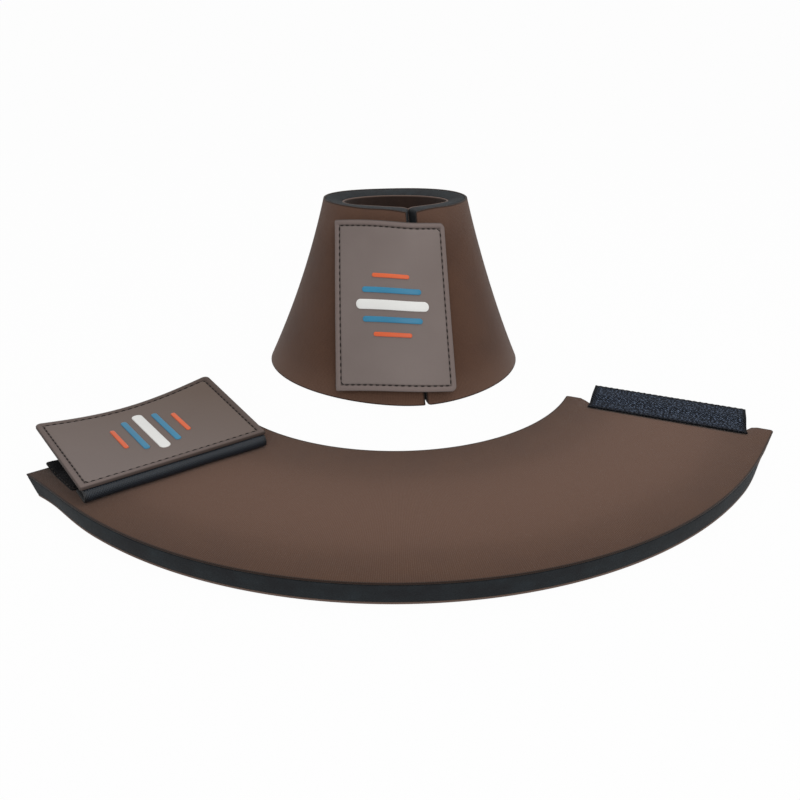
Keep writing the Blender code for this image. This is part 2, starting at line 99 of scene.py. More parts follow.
def add(tree, kind, links=None, stops=(), **settings):
    """A node of that kind. links maps an input, by number or name, to a node or to one of
    its outputs. Settings whose name starts with in_ go on an input, and a hex colour there
    is made linear. stops are a colour ramp's (position, hex colour) pairs. All Mix nodes
    here mix colours."""
    made = tree.nodes.new("ShaderNode" + kind)
    if kind == "Mix":
        made.data_type = "RGBA"
    for name, value in settings.items():
        if name.startswith("in_"):
            key = name[3:]
            value = linear(value) if isinstance(value, str) else value
            made.inputs[int(key) if key.isdigit() else key.replace("_", " ")].default_value = value
        else:
            setattr(made, name, value)
    for key, source in (links or {}).items():
        wire(tree, source, made.inputs[key])
    if stops:
        elements = made.color_ramp.elements
        elements[0].position, elements[1].position = stops[0][0], stops[-1][0]
        for position, _ in stops[1:-1]:
            elements.new(position)
        for element, (_, hex_colour) in zip(elements, stops):
            element.color = linear(hex_colour)
    return made


def new_material(name, roughness, specular, sheen=0.0, sheen_roughness=0.5):
    """A material with only its Principled shader's own values set."""
    made = bpy.data.materials.new(name)
    made.use_nodes = True
    shader = made.node_tree.nodes["Principled BSDF"]
    shader.inputs["Roughness"].default_value = roughness
    shader.inputs["Specular IOR Level"].default_value = specular
    shader.inputs["Sheen Weight"].default_value = sheen
    shader.inputs["Sheen Roughness"].default_value = sheen_roughness
    return made, made.node_tree, shader


def dress(tree, shader, colour, height, depth):
    """Gives the shader its colour, and a relief from height that is depth metres deep."""
    wire(tree, colour, shader.inputs["Base Color"])
    relief = add(tree, "Bump", {"Height": height}, in_Distance=depth)
    wire(tree, relief, shader.inputs["Normal"])


print("mid grey #808080 is", round(linear("#808080")[0], 3), "in linear light")

# %% [markdown]
# ## How the pieces lie
# Every piece of a boot is cut flat and then laid on the open boot or bent round the closed
# one. The lesson does the same. Each piece is modelled flat, with x measured inboard from
# the end of its panel, y measured from the apex of the ring and z above the wall's outer
# face, and two small classes say where such a point goes. They use the sizes of the packed
# model, so every piece lands exactly where its CAD solid is.

# %% Sizes of the flat pattern and the laminate
MOUTH_RADIUS = 139 * MM
SLANT = 140 * MM
HEM_RADIUS = MOUTH_RADIUS + SLANT
MEAN_RADIUS = (MOUTH_RADIUS + HEM_RADIUS) / 2
PATTERN_ANGLE = math.radians(121)
RING_LENGTH = PATTERN_ANGLE * MEAN_RADIUS
LINING = 1.2 * MM
CORE = 10.4 * MM
OUTER = 1.2 * MM
SEAT = 0.3 * MM
WALL = LINING + CORE + OUTER + 2 * SEAT
FLAP_WIDTH = 90 * MM
FLAP_LENGTH = 122 * MM
print("wall", round(WALL / MM, 1), "mm thick, cut from a ring", round(SLANT / MM), "mm wide")

# %% [markdown]
# The closed boot is an oval bell with a ridge where its two ends meet. A pair of values
# gives a size at the mouth and at the hem, and the wall runs smoothly between them. The
# oval's width and depth are shares of the mean radius that the flat pattern gives.

# %% Sizes of the closed boot's form
CLOSED_X, CLOSED_Y = -13.66 * MM, 114.62 * MM
SHIFTS_X, SHIFTS_Y = (-0.5 * MM, -2.4 * MM), (13 * MM, 8 * MM)
WIDTH_SHARES, DEPTH_SHARES = (1.086, 1.053), (0.773, 0.93)
JOINT_TURN = math.radians(14.2)
RIDGES = (8 * MM, 12 * MM)
RIDGE_SPREADS = (math.radians(60), math.radians(69))
RIDGE_ROUNDINGS = (math.radians(3.5), math.radians(14))
JOINT_GAPS = (8 * MM, 1.2 * MM)
FLARE_SAG_SHARE = 0.33
SAG_START, SAG_FULL = math.radians(48), math.radians(88)
RIM_TILT_SHARE, FRONT_TILT_SHARE = 0.6, -0.2
MOUTH_SWELL_SHARE = 1.24
SIDE_RISE, FRONT_RISE, FRONT_RISE_AT = 2.8 * MM, 2 * MM, 17 * MM
LINING_DIP, LINING_DIP_REACH = 1.6 * MM, 11 * MM
TURNS = np.linspace(-math.pi, math.pi, 1441)
ACROSS_STEP, DOWN_STEP = 0.5, 0.01
ACROSS = np.arange(-330, 330.01, ACROSS_STEP)
DOWN = np.arange(-0.1, 1.101, DOWN_STEP)


def mix(first, last, share):
    return first + (last - first) * share


def step(values, low, high):
    """0 below low, 1 above high, smooth between."""
    share = np.clip((values - low) / (high - low), 0, 1)
    return share * share * (3 - 2 * share)


print("table of", len(ACROSS), "places round and", len(DOWN), "down the closed wall")


# %% [markdown]
# Each class begins with what differs between the boots. corner_radii round the wall's
# corners, at low x and at high x. wrap says how far the jersey is pulled round the cut
# end, in millimetres, where x is above 0 and where it is below, and 0.1 stands for not at
# all. lift is the flap's height over the wall. The flap's corners are inboard and radial
# places in millimetres, from the sewn one at the mouth round by the free edge. flap_rise
# turns the flap up about its sewn edge, flap_droop lowers its free corner at the hem,
# flap_sag lowers the middle of its free edge and edge_bow bows its edge at the mouth. The
# strap steps up over the joint to step_end, its seam dips it and pinches the foam, and
# shears set it a little out of square.

# %% The closed boot's form
class ClosedBoot:
    """The bell: an oval mouth over a wider hem, pointed where the two ends meet."""

    name = "closed"
    half_gap = sum(JOINT_GAPS) / 4
    corner_radii = (2.4 * MM, 0.8 * MM)
    wrap = (0.1, 0.1)
    lift = 6.5 * MM
    flap_corners = ((60, 136), (-28, 148), (-26, 268), (68.7, 261))
    flap_rise = flap_droop = flap_sag = 0
    edge_bow = 1.7 * MM
    pad_setback = JOINT_GAPS[0] / 2 - half_gap
    pad_length = 114 * MM
    pad_shadow_stretch = pad_curl = 0
    strap_rise = pinch_depth = 0
    strap_step, step_end = 3.4 * MM, -2 * half_gap - 0.5 * MM
    strap_dips = (0, 0)
    strap_shears = (0, 0, 0)

    def __init__(self):
        turn = PATTERN_ANGLE / math.tau
        self.mouth = MOUTH_RADIUS * turn + WALL / 2
        self.hem = HEM_RADIUS * turn + WALL / 2
        self.rise = math.sqrt(SLANT ** 2 - (self.hem - self.mouth) ** 2)
        self.tables = {}

    def outline(self, turn, down):
        """Points of the outer face at the angles turn from the joint, at a share of the
        slant down from the mouth: an oval, a ridge at the joint, and a sag in the flare."""
        slack = np.clip((np.abs(turn) - SAG_START) / (SAG_FULL - SAG_START), 0, 1)
        sag = FLARE_SAG_SHARE * (self.hem - self.mouth) * down * (1 - down)
        mean = mix(self.mouth, self.hem, down) - sag * np.sin(slack * math.pi / 2) ** 2
        angle = turn + JOINT_TURN
        wide, deep = mix(*WIDTH_SHARES, down), mix(*DEPTH_SHARES, down)
        oval = mean / np.hypot(np.sin(angle) / wide, np.cos(angle) / deep)
        rounding = mix(*RIDGE_ROUNDINGS, down)
        away = np.hypot(turn, rounding) - rounding
        ridge = mix(*RIDGES, down) * np.clip(1 - away / mix(*RIDGE_SPREADS, down), 0, None) ** 2
        x = CLOSED_X + mix(*SHIFTS_X, down) + (oval + ridge) * np.sin(angle)
        y = CLOSED_Y + mix(*SHIFTS_Y, down) - (oval + ridge) * np.cos(angle)
        return np.stack([x, y, np.full_like(turn, self.rise * (1 - down))], axis=-1)

    def table(self, reference):
        """The wall's face sampled every half millimetre round and every hundredth down,
        with how a point moves for each metre of level above it. Lengths round the wall are
        measured at the level reference, where the piece that is laid neither stretches
        nor shrinks."""
        if reference not in self.tables:
            rows, halves = [], []
            for down in DOWN:
                here = self.outline(TURNS, down)
                below = self.outline(TURNS, down + DOWN_STEP)
                normal = np.cross(np.gradient(here, axis=0), here - below)
                normal /= np.linalg.norm(normal, axis=1)[:, None]
                flat = np.hypot(normal[:, 0], normal[:, 1])
                reach = (1 - RIM_TILT_SHARE * (1 - down) * normal[:, 2] ** 2) / flat ** 2
                offset = normal[:, :2] * reach[:, None]
                slope = normal[:, 2] * (1 - down)
                inner_tilt = mix(FRONT_TILT_SHARE, RIM_TILT_SHARE, np.sin(TURNS / 2) ** 2)
                measured = here[:, :2] + offset * reference
                run = np.concatenate([[0], np.cumsum(np.hypot(*np.diff(measured, axis=0).T))])
                halves.append(run[-1] / 2)
                place = np.interp(ACROSS * MM, run - np.interp(0, TURNS, run), TURNS)
                columns = (*here.T, *offset.T, slope * RIM_TILT_SHARE, slope * inner_tilt)
                rows.append(np.stack([np.interp(place, TURNS, c) for c in columns], axis=-1))
            self.tables[reference] = np.array(rows), np.array(halves)
        return self.tables[reference]

    def point(self, across, down, level, reference=0):
        """Points at the arc length across from the joint, read from the table."""
        rows, _ = self.table(reference)
        column = np.clip((across / MM - ACROSS[0]) / ACROSS_STEP, 0, rows.shape[1] - 1.001)
        row = np.clip((down - DOWN[0]) / DOWN_STEP, 0, rows.shape[0] - 1.001)
        c, r = column.astype(int), row.astype(int)
        cs, rs = (column - c)[:, None], (row - r)[:, None]
        upper = mix(rows[r, c], rows[r, c + 1], cs)
        lower = mix(rows[r + 1, c], rows[r + 1, c + 1], cs)
        x, y, z, dx, dy, up, under = mix(upper, lower, rs).T
        outwards, inwards = np.maximum(level, 0), np.minimum(level, 0)
        reach = outwards + inwards * mix(MOUTH_SWELL_SHARE, 1, down)
        z = z + up * (outwards + WALL / 2) + under * inwards
        return np.stack([x + dx * reach, y + dy * reach, z], axis=-1)

    def wall_point(self, flat):
        """Points of the wall: x along the ring at its mean radius, y from the apex. The
        rim rises a little beside the joint and round the sides, and the lining dips at
        the joint."""
        angle = flat[:, 0] / MEAN_RADIUS
        down = (flat[:, 1] - MOUTH_RADIUS) / SLANT
        half = np.interp(down, DOWN, self.table(0)[1])
        deep = np.clip(-flat[:, 2] / WALL, 0, 1)
        setback = mix(*JOINT_GAPS, down) / 2 * (1 - 0.8 * deep * down ** 2)
        across = setback + (1 - np.abs(angle) / (PATTERN_ANGLE / 2)) * (half - setback)
        places = self.point(np.where(angle > 0, -1, 1) * across, down, flat[:, 2])
        high = np.clip(1 - down, 0, 1.1) ** 2
        share = across / half
        rise = SIDE_RISE * step(share, 0, 0.45) * mix(1, 0.4, step(share, 0.55, 1))
        rise += FRONT_RISE * np.exp(-((across - FRONT_RISE_AT) / FRONT_RISE_AT) ** 2)
        dip = LINING_DIP * (1 - step(across, 0, LINING_DIP_REACH)) * high
        places[:, 2] += rise * high * (1 - deep) - dip * deep
        return places

    def end_point(self, side, inboard, radial, level, reference=0):
        """Points beside an end of the panel: side is -1 at the flap and 1 at the strap."""
        inboard = inboard + self.half_gap
        radius = np.hypot(inboard, radial)
        across = side * radius * np.arctan2(inboard, radial)
        return self.point(across, (radius - MOUTH_RADIUS) / SLANT, level, reference)


# %% The open boot's form
class OpenBoot:
    """The mirror image, lying flat on its lining and turned a little. The hem's corners
    spread outwards by corner_drops, at the strap and at the flap, and the foam's lower
    edge is tucked in near both ends."""

    name = "open"
    half_gap = 0
    corner_radii = (0.8 * MM, 2.4 * MM)
    wrap = (50, 0.1)
    lift = 9.3 * MM
    flap_corners = ((57, 146.5), (-33, 146.5), (-35, 268.8), (57, 268.5))
    flap_rise = math.radians(5.5)
    flap_droop, flap_sag = 4.5 * MM, 7 * MM
    edge_bow = 0
    pad_setback = 0
    pad_length = 122 * MM
    # The pad's stretch lays its black into the open flap's shadow.
    pad_shadow_stretch, pad_curl = 4.5 * MM, 3 * MM
    strap_rise = math.radians(2.7)
    pinch_depth = 4.2 * MM
    strap_step, step_end = 0, -0.5 * MM
    strap_dips = (1.6 * MM, 0.8 * MM)
    strap_shears = (2.2 * MM, -1.4 * MM, 2.4 * MM)
    turn = math.radians(6.7)
    apex_x, apex_y = -14.16 * MM, 63.22 * MM
    corner_drops = (4.5 * MM, 7 * MM)
    hem_tuck, hem_tuck_reach = 3.2 * MM, 75 * MM
    end_tuck, end_tuck_reach = 8 * MM, 45 * MM

    def wall_point(self, flat):
        angle = flat[:, 0] / MEAN_RADIUS
        down = (flat[:, 1] - MOUTH_RADIUS) / SLANT
        drop = np.where(angle > 0, *self.corner_drops)
        radius = flat[:, 1] + drop * down * (angle / (PATTERN_ANGLE / 2)) ** 12
        under = np.clip(-flat[:, 2] / WALL, 0, 1) * np.clip(down, 0, 1) ** 3
        from_end = (PATTERN_ANGLE / 2 - np.abs(angle)) * flat[:, 1]
        radius = radius - self.hem_tuck * under * (1 - step(from_end, 0, self.hem_tuck_reach))
        tuck = self.end_tuck / flat[:, 1] * under * (1 - step(from_end, 0, self.end_tuck_reach))
        angle = angle - np.sign(angle) * tuck
        x = self.apex_x + radius * np.sin(angle + self.turn)
        y = self.apex_y - radius * np.cos(angle + self.turn)
        return np.stack([x, y, WALL + flat[:, 2]], axis=-1)

    def end_point(self, side, inboard, radial, level, reference=0):
        angle = side * PATTERN_ANGLE / 2 + self.turn
        x = self.apex_x + math.sin(angle) * radial - side * math.cos(angle) * inboard
        y = self.apex_y - math.cos(angle) * radial - side * math.sin(angle) * inboard
        return np.stack([x, y, WALL + level + 0 * x], axis=-1)


BOOTS = (ClosedBoot(), OpenBoot())
print("boots:", *[boot.name for boot in BOOTS])


# %% [markdown]
# ## Shared steps of the modelling
# Every piece starts as a primitive, and a few steps come again and again: giving it its
# size, cutting lines across it so that it can bend, applying modifiers, and laying the
# finished flat piece on its boot. Before it is laid, each point's place as cut is kept in
# an attribute, so weaves and grains follow the cloth and not the room.

# %% Helpers for edit mode, modifiers and points
def start_alone():
    bpy.ops.object.select_all(action="DESELECT")


def sized(size, centre):
    """Gives the primitive that was just added its size and place, and returns it."""
    piece = bpy.context.object
    piece.scale = size
    piece.location = centre
    bpy.ops.object.transform_apply(location=True, rotation=True, scale=True)
    return piece


def edit(mode="FACE"):
    """Goes into edit mode with everything selected."""
    bpy.ops.object.mode_set(mode="EDIT")
    bpy.ops.mesh.select_mode(type=mode)
    bpy.ops.mesh.select_all(action="SELECT")


def done():
    bpy.ops.object.mode_set(mode="OBJECT")


def cut_lines(places, direction):
    """Cuts the piece in edit mode across direction at each of the places."""
    for place in places:
        bpy.ops.mesh.select_all(action="SELECT")
        bpy.ops.mesh.bisect(plane_co=Vector(direction) * place, plane_no=direction)


def modify(piece, kind, **settings):
    """Adds a modifier with its settings and applies it."""
    modifier = piece.modifiers.new(kind.title(), kind)
    for name, value in settings.items():
        setattr(modifier, name, value)
    with bpy.context.temp_override(object=piece, active_object=piece):
        bpy.ops.object.modifier_apply(modifier=modifier.name)


def thicken(piece, thickness, rounding, segments=2):
    """Makes a slab of a flat grid and rounds the slab's edges."""
    modify(piece, "SOLIDIFY", thickness=thickness, offset=1)
    modify(piece, "BEVEL", width=rounding, segments=segments, limit_method="ANGLE",
           angle_limit=math.radians(60))


def coordinates(piece):
    values = np.empty(len(piece.data.vertices) * 3, np.float32)
    piece.data.vertices.foreach_get("co", values)
    return values.reshape(-1, 3).astype(float)


def move_vertices(piece, places):
    piece.data.vertices.foreach_set("co", places.astype(np.float32).ravel())
    piece.data.update()


def store(piece, name, values):
    """Keeps one value for each point in an attribute, which a material can read."""
    kept = piece.data.attributes.new(name, "FLOAT", "POINT")
    kept.data.foreach_set("value", values.astype(np.float32))


def turn_about(places, low, high, angle):
    """The places turned by angle about the line from low to high."""
    axis = (high - low) / np.linalg.norm(high - low)
    away = places - low
    cos, sin = math.cos(angle), math.sin(angle)
    return low + (away * cos + np.cross(axis, away) * sin + np.outer(away @ axis, axis) * (1 - cos))


def lay(piece, name, place, material_made):
    """Keeps the flat places in the attribute cut, bends the piece by place, turns its
    faces outwards and gives it its name and material."""
    flat = coordinates(piece)
    cut = piece.data.attributes.new("cut", "FLOAT_VECTOR", "POINT")
    cut.data.foreach_set("vector", flat.astype(np.float32).ravel())
    move_vertices(piece, place(flat))
    start_alone()
    piece.select_set(True)
    bpy.context.view_layer.objects.active = piece
    edit()
    bpy.ops.mesh.normals_make_consistent(inside=False)
    done()
    bpy.ops.object.shade_smooth_by_angle(angle=math.radians(50))
    piece.name = piece.data.name = name
    piece.data.materials.clear()
    piece.data.materials.append(material_made)
    print(name, len(piece.data.polygons), "faces")
    return piece

# %% [markdown]
# ## Materials
# The wall is chloroprene foam with a knitted polyester jersey glued to both faces. A
# jersey is matt, a little fuzzy and made of rows of loops. Its loops are 0.6 mm wide, and
# drawn at 0.9 mm so that they show at all in a picture of the whole pair. The pattern is
# placed by the attribute cut, so it bends with the cloth. Inputs 1 to 4 of a Map Range
# node are the range that comes in and the range that it becomes, and inputs 0, 6 and 7 of
# a Mix node are the share and the two colours.

# %% Knitted polyester jersey on foam
def cut_place(tree, scale=1.0):
    """The place as cut, in millimetres times scale."""
    place = add(tree, "Attribute", attribute_name="cut")
    return add(tree, "Mapping", {0: place.outputs["Vector"]}, in_Scale=(1000 * scale,) * 3)


def jersey(name, main, dark, edge, painted_light=None, shares=(), painted_shadow=None):
    """Knitted polyester: rows of small loops, faint cloudy colour, fuzz at grazing angles.
    The colour edge lies along the cut, where the attribute rim is small. A paler colour is
    painted in bands down the wall as light: shares gives points of its share from the mouth,
    0, to the hem, 1, the two ends first. A darker colour is painted as the open flap's
    shadow, near the wall's end that carries the flap."""
    made, tree, shader = new_material(name, 0.9, 0.12, sheen=0.14)
    place = cut_place(tree)
    split = add(tree, "SeparateXYZ", {0: place})
    wales, courses = [
        add(tree, "TexWave", {"Vector": place}, bands_direction=direction, in_Scale=0.35,
            in_Distortion=1.2, in_Detail=1.0, in_Detail_Scale=2.0).outputs["Fac"]
        for direction in "XY"]
    loops = add(tree, "Math", {0: wales, 1: courses}, operation="MULTIPLY")
    fibres = add(tree, "TexNoise", {"Vector": place}, in_Scale=1.4, in_Detail=2.0, in_Roughness=0.7)
    pile = add(tree, "Math", {0: loops, 1: fibres}, operation="ADD")
    clouds = add(tree, "TexNoise", {"Vector": place}, in_Scale=0.035, in_Detail=3.0, in_Roughness=0.55)
    colour = add(tree, "ValToRGB", {0: clouds}, [(0.3, dark), (0.7, main)])
    # Painted light: a paler colour in bands down the wall.
    if painted_light:
        down = add(tree, "MapRange", {"Value": split.outputs[1]}, in_1=MOUTH_RADIUS / MM,
                   in_2=HEM_RADIUS / MM)
        light_band = add(tree, "FloatCurve", {1: down})
        points = light_band.mapping.curves[0].points
        for number, place_and_share in enumerate(shares):
            point = points[number] if number < 2 else points.new(*place_and_share)
            point.location = place_and_share
        light_band.mapping.update()
        colour = add(tree, "Mix", {0: light_band, 6: colour}, in_7=painted_light)
    # Painted shadow: the colour turns darker towards the wall's end under the open flap, for the flap's
    # shadow.
    if painted_shadow:
        shadow_share = add(tree, "MapRange", {"Value": split.outputs[0]}, in_1=-215.0, in_2=-165.0,
                        in_3=0.8, in_4=0.0)
        colour = add(tree, "Mix", {0: shadow_share, 6: colour}, in_7=painted_shadow)
    shade = add(tree, "MapRange", {"Value": pile}, in_1=0.2, in_2=1.4, in_3=0.8, in_4=1.2)
    shaded = add(tree, "VectorMath", {0: colour, "Scale": shade}, operation="SCALE")
    rim = add(tree, "Attribute", attribute_name="rim")
    near = add(tree, "MapRange", {"Value": rim.outputs["Fac"]}, interpolation_type="SMOOTHSTEP",
               in_1=0.0003, in_2=0.0014, in_3=0.85, in_4=0.0)
    dress(tree, shader, add(tree, "Mix", {0: near, 6: shaded}, in_7=edge), pile, 0.00016)
    return made


# Shares of painted light: near the closed boot's mouth and hem, and a painted highlight along the middle
# of the open boot.
RIM_LIGHT_BAND = ((0.0, 0.3), (1.0, 0.45), (0.08, 0.22), (0.22, 0.0), (0.78, 0.0), (0.92, 0.25))
MIDDLE_HIGHLIGHT_BAND = ((0.0, 0.0), (1.0, 0.05), (0.2, 0.45), (0.45, 0.95), (0.65, 0.9), (0.85, 0.4))
fabric_brown = jersey("knitted_polyester_brown", "#553b2d", "#4e362a", "#1c1411",
                      "#6e5548", RIM_LIGHT_BAND)
fabric_open = jersey("knitted_polyester_brown_brushed", "#513829", "#4b3428", "#1c1411",
                     "#664b3d", MIDDLE_HIGHLIGHT_BAND, painted_shadow="#35261e")
lining_brown = jersey("knitted_polyester_lining", "#3d2d26", "#372923", "#6a5850")
print("jersey materials:", fabric_brown.name, fabric_open.name, lining_brown.name)

# %% [markdown]
# The foam shows only where it is cut: at the rims and at the two ends. Cut chloroprene is
# nearly black with a cold tint, matt, and full of fine closed cells of about 0.3 mm, drawn
# here at 0.7 mm. The attribute wrap says where the jersey is pulled round the cut.

# %% Cut chloroprene foam
def foam():
    made, tree, shader = new_material("cut_chloroprene_foam", 0.85, 0.22, sheen=0.02)
    place = cut_place(tree)
    cells = add(tree, "TexVoronoi", {"Vector": place}, in_Scale=1.4)
    streaks = add(tree, "TexNoise", {"Vector": place}, in_Scale=0.12, in_Detail=4.0)
    tint = add(tree, "ValToRGB", {0: streaks}, [(0.35, "#15171a"), (0.55, "#191d20"), (0.75, "#1e2428")])
    shade = add(tree, "MapRange", {"Value": cells}, in_1=0.0, in_2=0.7, in_3=0.7, in_4=1.15)
    shaded = add(tree, "VectorMath", {0: tint, "Scale": shade}, operation="SCALE")
    wrap = add(tree, "Attribute", attribute_name="wrap")
    pulled = add(tree, "MapRange", {"Value": wrap.outputs["Fac"]}, in_1=0.35, in_2=0.6)
    dress(tree, shader, add(tree, "Mix", {0: pulled, 6: shaded}, in_7="#4b362a"), cells, 0.00018)
    return made


foam_black = foam()
print("foam material:", foam_black.name)

# %% [markdown]
# The flap is injection moulded soft PVC: smooth, satin, and coloured right through, with a
# faint grain and slow changes of gloss where it flowed in the mould. On the open boot its
# colour is painted darker towards the free corner at the mouth, as shade, lip included.

# %% Moulded soft PVC
def soft_pvc(name, main, dark, lip=None, painted_shade=None, roughness=0.56):
    """Satin PVC. lip is a little darker colour painted on the moulded lip, where the attribute
    rim is small, as shade on its curve, and it brings dark lines of painted shade at the edge
    and in the stitch channel. A further colour is painted as shade that darkens the flap
    towards its free corner at the mouth, lip included."""
    made, tree, shader = new_material(name, roughness, 0.15)
    place = cut_place(tree)
    flow = add(tree, "TexNoise", {"Vector": place}, in_Scale=0.022, in_Detail=2.0)
    fine = add(tree, "TexNoise", {"Vector": place}, in_Scale=1.6, in_Detail=3.0)
    colour = add(tree, "ValToRGB", {0: flow}, [(0.35, dark), (0.65, main)])
    lip_shade = {}
    # Painted shade: the flap turns darker towards its free corner at the mouth, and its lip with it.
    if painted_shade:
        towards = add(tree, "VectorMath", {0: place}, operation="DOT_PRODUCT",
                      in_1=(0.0061, -0.0062, 0))
        shade_share = add(tree, "MapRange", {"Value": towards.outputs["Value"]}, in_1=-0.63, in_2=0.37)
        colour = add(tree, "Mix", {0: shade_share, 6: colour}, in_7=painted_shade)
        lip_shade = {7: add(tree, "Mix", {0: shade_share}, in_6=lip, in_7="#4c403b")}
    # Painted shade: the lip is a little darker on its curve, and dark lines lie in the stitch channel
    # and along the edge.
    if lip:
        rim = add(tree, "Attribute", attribute_name="rim").outputs["Fac"]
        near = add(tree, "MapRange", {"Value": rim}, interpolation_type="SMOOTHSTEP",
                   in_1=0.0036, in_2=0.0052, in_3=0.85, in_4=0.0)
        colour = add(tree, "Mix", {0: near, 6: colour, **lip_shade}, in_7=lip)
        groove = add(tree, "MapRange", {"Value": rim}, in_1=0.0037, in_2=0.0044)
        beyond = add(tree, "MapRange", {"Value": rim}, in_1=0.0044, in_2=0.0051, in_3=1.0, in_4=0.0)
        edge = add(tree, "MapRange", {"Value": rim}, in_1=0.0002, in_2=0.0009, in_3=1.0, in_4=0.0)
        channel = add(tree, "Math", {0: groove, 1: beyond}, operation="MULTIPLY")
        line = add(tree, "Math", {0: channel, 1: edge}, operation="MAXIMUM")
        faint = add(tree, "Math", {0: line}, operation="MULTIPLY", in_1=0.7)
        colour = add(tree, "Mix", {0: faint, 6: colour}, in_7="#2a211d")
    gloss = add(tree, "MapRange", {"Value": flow}, in_1=0.3, in_2=0.7, in_3=roughness - 0.06,
                in_4=roughness + 0.08)
    wire(tree, gloss, shader.inputs["Roughness"])
    dress(tree, shader, colour, fine, 0.00003)
    return made


# The open boot's flap gets its own copy, with painted shade towards its free corner.
flap_pvc = soft_pvc("moulded_soft_pvc_taupe", "#7a6f6b", "#746965", lip="#736662")
flap_painted_shade = soft_pvc("moulded_soft_pvc_taupe_handled", "#786d69", "#726763", lip="#6e615d",
                        painted_shade="#64564e")
BAR_COLOURS = {"orange": ("#dd6a43", "#d2603c"), "blue": ("#3f86a8", "#397b9c"),
               "white": ("#ebebe8", "#e3e3e0")}
bar_pvc = {key: soft_pvc(f"moulded_soft_pvc_{key}", *pair, roughness=0.36)
           for key, pair in BAR_COLOURS.items()}
print("PVC materials:", flap_pvc.name, flap_painted_shade.name, *[made.name for made in bar_pvc.values()])

# %% [markdown]
# The strap is plain woven polyester webbing. Its yarns pass over and under each other
# about 0.8 mm apart, and are drawn 1.1 mm apart so that they show. Paler threads give it a
# speckle. The tape that hinges the flap is finer and has some gloss. Loop tape is a mat of
# fine curls, and hook tape a grid of stems. Thread has the same pattern, so fine that it
# reads as twist.

# %% Webbing, binding tape, loop tape, hook tape and thread
def woven(name, main, dark, fleck, pitch, roughness, specular, depth, sheen=0.03,
          dark_edge_and_shade=None, spots=1.3, stops=(0.3, 0.6, 0.86)):
    """Plain weave: yarns of two directions, pitch millimetres apart, with pale flecks.
    spots is the flecks' scale, and stops are the places of dark, main and fleck in the
    colour ramp. A dark colour lies along the border, where rim is small: on the webbing
    it darkens all its edges, with painted shadow at the sewn edge, and on the fold tape
    it is painted shade on its lower part and at its ends."""
    made, tree, shader = new_material(name, roughness, specular, sheen)
    place = cut_place(tree, 1 / pitch)
    split = add(tree, "SeparateXYZ", {0: place})
    yarns = []
    for axis in (0, 1):
        turned = add(tree, "Math", {0: split.outputs[axis]}, operation="MULTIPLY", in_1=math.pi)
        yarns.append(add(tree, "Math", {0: turned}, operation="SINE"))
    weave = add(tree, "Math", {0: yarns[0], 1: yarns[1]}, operation="MULTIPLY")
    flecks = add(tree, "TexNoise", {"Vector": place}, in_Scale=spots, in_Detail=2.0)
    shade = add(tree, "MapRange", {"Value": weave}, in_1=-1.0, in_2=1.0, in_3=0.0, in_4=0.55)
    blended = add(tree, "Math", {0: shade, 1: flecks, 2: flecks}, operation="MULTIPLY_ADD")
    colour = add(tree, "ValToRGB", {0: blended}, list(zip(stops, (dark, main, fleck))))
    if dark_edge_and_shade:
        rim = add(tree, "Attribute", attribute_name="rim")
        near = add(tree, "MapRange", {"Value": rim.outputs["Fac"]}, in_1=0.0014, in_2=0.0042,
                   in_3=0.92, in_4=0.0)
        colour = add(tree, "Mix", {0: near, 6: colour}, in_7=dark_edge_and_shade)
    dress(tree, shader, colour, weave, depth)
    return made


def tape(name, colour, pale, scale, depth):
    """Hook or loop tape: a dense short pile, pale at its tips."""
    made, tree, shader = new_material(name, 0.9, 0.12, sheen=0.05, sheen_roughness=0.4)
    place = cut_place(tree)
    pile = add(tree, "TexVoronoi", {"Vector": place}, in_Scale=scale, in_Randomness=0.7)
    tone = add(tree, "ValToRGB", {0: pile}, [(0.1, pale), (0.6, colour)])
    dress(tree, shader, tone, pile, -depth)
    return made


# Dark edges: on the webbing painted shadow along the sewn edge, and darker along the others; on the
# binding painted shade on the fold's lower part and at its ends.
webbing_navy = woven("woven_webbing_navy", "#111823", "#04060a", "#5f6b7f", 1.1, 0.9, 0.08,
                     0.0004, sheen=0.04, dark_edge_and_shade="#06070b", spots=0.8, stops=(0.38, 0.64, 0.9))
binding_navy = woven("binding_tape_navy", "#10161d", "#0a0e13", "#1a232c", 0.8, 0.5, 0.34,
                     0.0001, sheen=0.02, dark_edge_and_shade="#050608")
loop_black = tape("loop_tape_black", "#08080a", "#141416", 0.9, 0.0004)
hook_black = tape("hook_tape_black", "#0a0a0b", "#1c1c1f", 0.7, 0.0003)
thread_dark = woven("polyester_thread_dark", "#17110f", "#0e0a09", "#241c19", 0.5, 0.7, 0.2, 0.00008)
thread_navy = woven("polyester_thread_navy", "#141823", "#0c0f16", "#1c2230", 0.5, 0.8, 0.1, 0.00008)
print("woven materials:", webbing_navy.name, binding_navy.name, thread_dark.name, thread_navy.name)
print("tapes:", loop_black.name, hook_black.name)

# %% [markdown]
# ## The wall
# Three layers make the wall: lining, foam and outer jersey. Each starts as a grid, as long
# as the ring's mean circle and as wide as the ring. Lines are cut close to its borders, the
# four corners are rounded, Solidify gives the thickness and Bevel softens the rim. Then it
# is laid on its boot. Under the open strap the seam pinches the foam, and the foam stands
# up again at both sides of it, so the pinch is taken off each point's level.

# %% A layer of the wall
RIM_LINES = (0.35, 0.8, 1.5, 2.6, 4.2)
STRAP_LENGTH = 107 * MM
STRAP_SEWN = 14.5 * MM
STRAP_Y = MOUTH_RADIUS + 18.8 * MM


